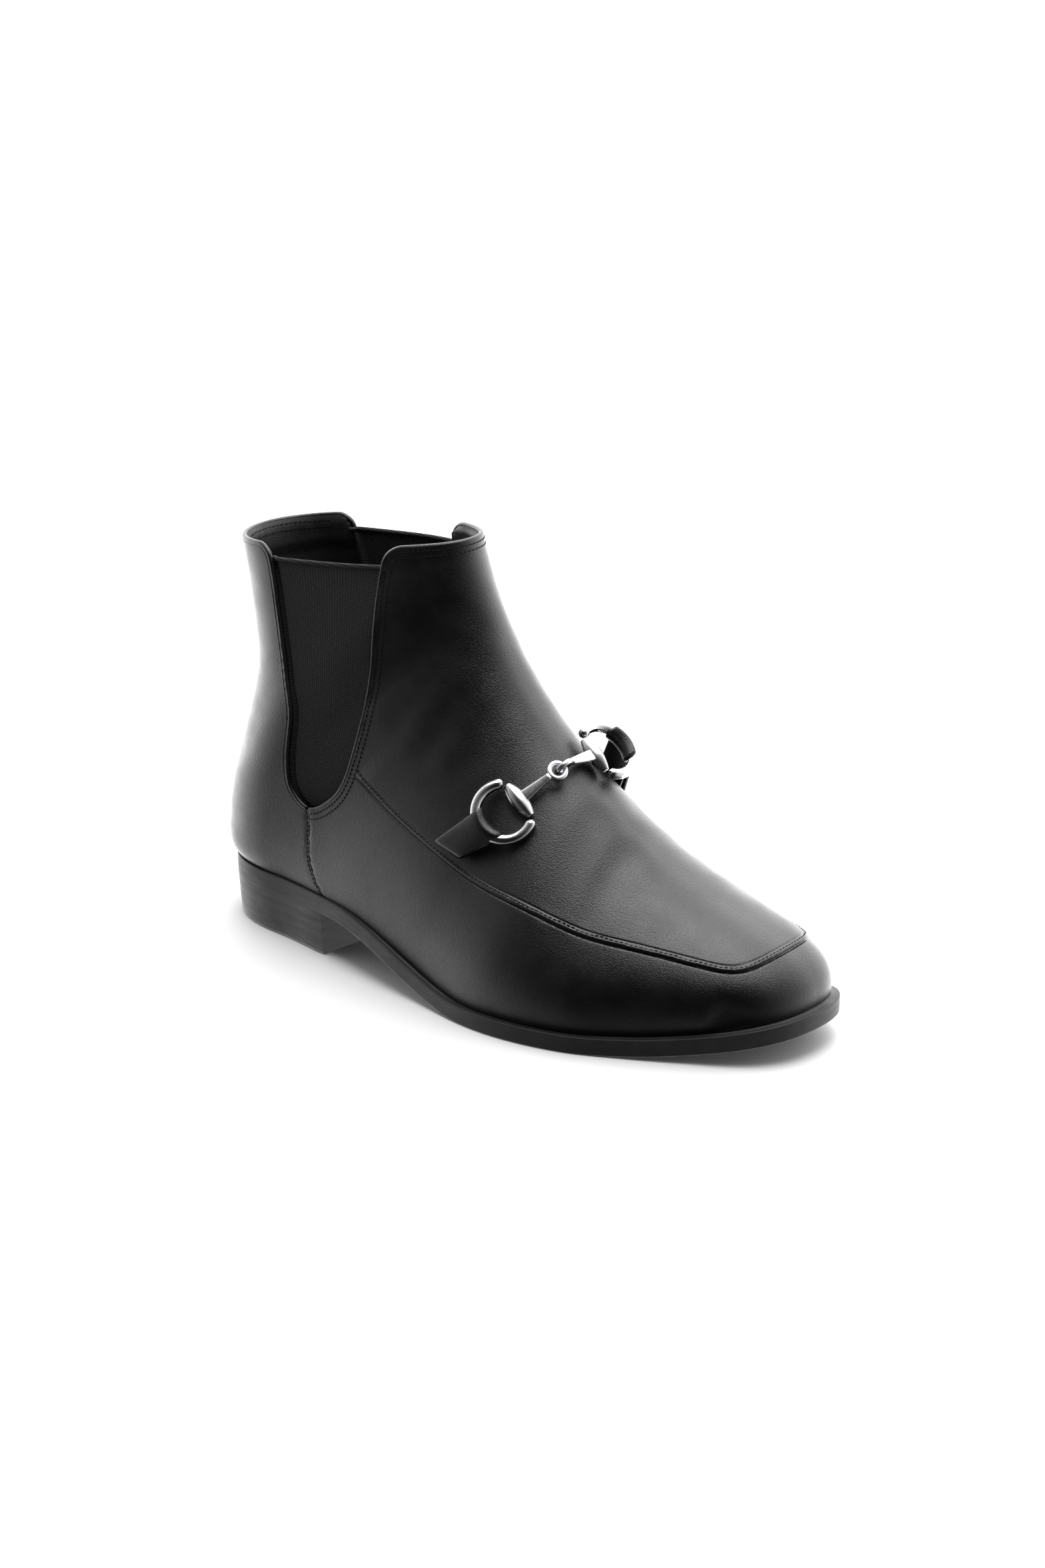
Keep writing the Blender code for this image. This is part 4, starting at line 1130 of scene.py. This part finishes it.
class Finish:
    """A material on the boot's own coordinates, with the shader's uniform values on its sockets."""

    def __init__(self, name, colour, roughness, **values):
        self.material = bpy.data.materials.new(name)
        self.material.use_nodes = True
        self.tree = self.material.node_tree
        self.sockets = self.tree.nodes["Principled BSDF"].inputs
        self.sockets["Base Color"].default_value = (*colour, 1)
        self.sockets["Roughness"].default_value = roughness
        for socket, value in values.items():
            self.sockets[socket.replace("_", " ")].default_value = value
        self.coordinates = self.tree.nodes.new("ShaderNodeTexCoord").outputs["Object"]

    def texture(self, kind, output, inputs, vector=None, **settings):
        """A node's output, fed with the boot's coordinates or another vector."""
        inputs["Vector"] = vector or self.coordinates
        return node(self.tree, kind, inputs, **settings).outputs[output]

    def scaled(self, stretch, turn=(0, 0, 0)):
        """The coordinates, stretched and turned."""
        return self.texture("ShaderNodeMapping", "Vector", {"Scale": stretch, "Rotation": turn})

    def noise(self, millimetres, detail=3.0, vector=None):
        """Cloudy noise with features of about this size."""
        inputs = {"Scale": 1000 / millimetres, "Detail": detail}
        return self.texture("ShaderNodeTexNoise", "Fac", inputs, vector)

    def cells(self, millimetres):
        """Rounded cells of about this size, high at their edges."""
        inputs = {"Scale": 1000 / millimetres, "Smoothness": 0.6}
        return self.texture("ShaderNodeTexVoronoi", "Distance", inputs, feature="SMOOTH_F1")

    def bands(self, millimetres):
        """Level bands this far apart."""
        inputs = {"Scale": math.pi / 10 / (millimetres * 0.001)}
        return self.texture("ShaderNodeTexWave", "Fac", inputs, bands_direction="Z")

    def raised(self, *layers):
        """Bumps one on another: each a height, its depth in millimetres and whether it sinks."""
        below = {}
        for height, depth, sinks in layers:
            inputs = {"Distance": depth * 0.001, "Height": height, **below}
            below = {"Normal": node(self.tree, "ShaderNodeBump", inputs, invert=sinks).outputs["Normal"]}
        self.tree.links.new(below["Normal"], self.sockets["Normal"])

    def tinted(self, value, dark, light):
        """Base colour between two greys, the light one a little cool."""
        ramp = node(self.tree, "ShaderNodeValToRGB", {"Fac": value})
        first, last = ramp.color_ramp.elements
        first.position, last.position = NOISE_RANGE
        first.color = (dark, dark, dark, 1)
        last.color = (light, light, light * COOL, 1)
        self.tree.links.new(ramp.outputs["Color"], self.sockets["Base Color"])

    def uneven(self, value, low, high):
        """Roughness between two values."""
        self.tree.links.new(spread(self.tree, value, NOISE_RANGE, (low, high)), self.sockets["Roughness"])


def leather_finish(name, rough):
    """Black satin leather: fine pebbles, short wrinkles across the foot, slow changes of gloss."""
    finish = Finish(name, (0.0012, 0.0012, 0.0013), rough, Specular_IOR_Level=0.42)
    wrinkles = finish.scaled((1.0, 0.4, 1.6), (0, math.radians(-18), 0))
    finish.tinted(finish.noise(14), 0.0009, 0.0015)
    finish.uneven(finish.noise(9), rough - 0.04, rough + 0.05)
    finish.raised(
        (finish.noise(0.55, 3, wrinkles), 0.09, False), (finish.cells(0.36), 0.07, True),
        (finish.noise(0.18), 0.01, False),
    )
    return finish.material


def elastic_finish():
    """Black ribbed elastic with a regular fine knit; its colour is lighter on the knit's raised bands and
    darker in the grooves between, painted shade in step with the bump.
    """
    finish = Finish("black_elastic", (0.004, 0.004, 0.0042), 0.8, Specular_IOR_Level=0.25)
    # Painted shade: the colour follows the knit's bands, dark in their grooves and light on their raised
    # tops, in step with the bump below
    finish.tinted(finish.bands(0.75), 0.002, 0.012)
    finish.raised((finish.bands(0.75), 0.14, False), (finish.noise(0.3, 2), 0.05, False))
    return finish.material


def rubber_finish(name, rough):
    """Black sole edge, smooth with a faint lengthwise grain."""
    finish = Finish(name, (0.01, 0.01, 0.0103), rough, Specular_IOR_Level=0.3)
    streaks = finish.scaled((0.15, 0.15, 1.0))
    finish.tinted(finish.noise(6), 0.008, 0.012)
    finish.uneven(finish.noise(1.2, 2, streaks), rough - 0.04, rough + 0.05)
    finish.raised((finish.noise(1.1, 3, streaks), 0.03, False), (finish.noise(0.4), 0.012, False))
    return finish.material


def metal_finish(name, rough):
    """Silver metal with slight unevenness."""
    finish = Finish(name, (0.45, 0.45, 0.46), rough, Metallic=1.0)
    finish.uneven(finish.noise(1.5), rough - 0.03, rough + 0.04)
    finish.raised((finish.noise(2.5, 1), 0.02, False))
    return finish.material


def thread_finish():
    """Black waxed thread."""
    finish = Finish("black_thread", (0.002, 0.002, 0.0021), 0.7, Specular_IOR_Level=0.15)
    finish.tinted(finish.noise(0.8), 0.001, 0.003)
    finish.raised((finish.noise(0.25), 0.04, False))
    return finish.material


# Camera, floor and light

def toward(made, target):
    """Turns an object's view to a point."""
    made.rotation_mode = "QUATERNION"
    made.rotation_quaternion = (Vector(target) - made.location).to_track_quat("-Z", "Y")


def set_camera():
    """The photograph's camera."""
    lens = bpy.data.cameras.new("camera")
    lens.sensor_width = SENSOR
    lens.lens = FOCAL_PIXELS / IMAGE_HEIGHT * SENSOR
    camera = add("camera", lens)
    flat = math.cos(ELEVATION)
    away = Vector((math.sin(AZIMUTH) * flat, -math.cos(AZIMUTH) * flat, math.sin(ELEVATION)))
    target = Vector(place(CAMERA_TARGET))
    camera.location = target + away * CAMERA_DISTANCE * 0.001
    toward(camera, target)
    bpy.context.scene.camera = camera


def set_stage():
    """A plain pale floor."""
    mesh = bpy.data.meshes.new("floor")
    far = FLOOR_REACH
    mesh.from_pydata([(-far, -far, 0), (far, -far, 0), (far, far, 0), (-far, far, 0)], [], [(0, 1, 2, 3)])
    mesh.materials.append(Finish("pale_floor", (0.54, 0.54, 0.54), 0.7).material)
    floor = add("floor", mesh)
    floor.visible_glossy = False


def set_light():
    """Soft boxes, a white backdrop, and light from all round but the dark front of the studio."""
    for name, spot, size, power in LIGHTS:
        lamp = bpy.data.lights.new(name, "AREA")
        lamp.shape = "RECTANGLE"
        lamp.size, lamp.size_y = size
        lamp.energy = power
        made = add(name, lamp)
        made.location = spot
        toward(made, LIGHT_TARGET)
    world = bpy.data.worlds.new("studio")
    world.use_nodes = True
    bpy.context.scene.world = world
    tree = world.node_tree
    direction = tree.nodes.new("ShaderNodeTexCoord").outputs["Generated"]
    dot = node(tree, "ShaderNodeVectorMath", {0: direction, 1: DARK_AXIS}, operation="DOT_PRODUCT")
    roots = [strength ** (1 / SKY_POWER) for strength in (DARK_SKY, SKY)]
    level = spread(tree, dot.outputs["Value"], (DARK_EDGE, BRIGHT_EDGE), roots)
    light = node(tree, "ShaderNodeMath", {0: level, 1: SKY_POWER}, operation="POWER").outputs["Value"]
    in_view = tree.nodes.new("ShaderNodeLightPath").outputs["Is Camera Ray"]
    seen = node(tree, "ShaderNodeMix", {"Factor": in_view, "A": light, "B": BACKDROP})
    background = tree.nodes["Background"].inputs
    background["Color"].default_value = (1, 1, 1, 1)
    tree.links.new(seen.outputs["Result"], background["Strength"])
    bpy.context.scene.view_settings.view_transform = "Standard"


def build():
    """Every piece of the boot, and the studio."""
    hide = leather_finish("black_leather", 0.36)
    lining = leather_finish("black_lining", 0.5)
    thread = thread_finish()
    elastic = elastic_finish()
    rubber = rubber_finish("black_sole", 0.55)
    polished = metal_finish("polished_metal", 0.1)
    satin = metal_finish("satin_metal", 0.27)
    leather, seam = build_upper(hide)
    build_edges(leather, seam, hide, thread)
    build_lining(lining, thread)
    build_sole(rubber)
    build_insole(lining)
    build_heel(rubber)
    for side, name in ((-1, "right"), (1, "left")):
        build_gore(leather, side, f"gore_{name}", elastic)
        bit = BitFrame(side)
        build_ring(name, bit, polished)
        build_bar(name, bit, side > 0, satin)
        build_tab(name, bit, leather, hide, thread)
    set_camera()
    set_stage()
    set_light()


build()
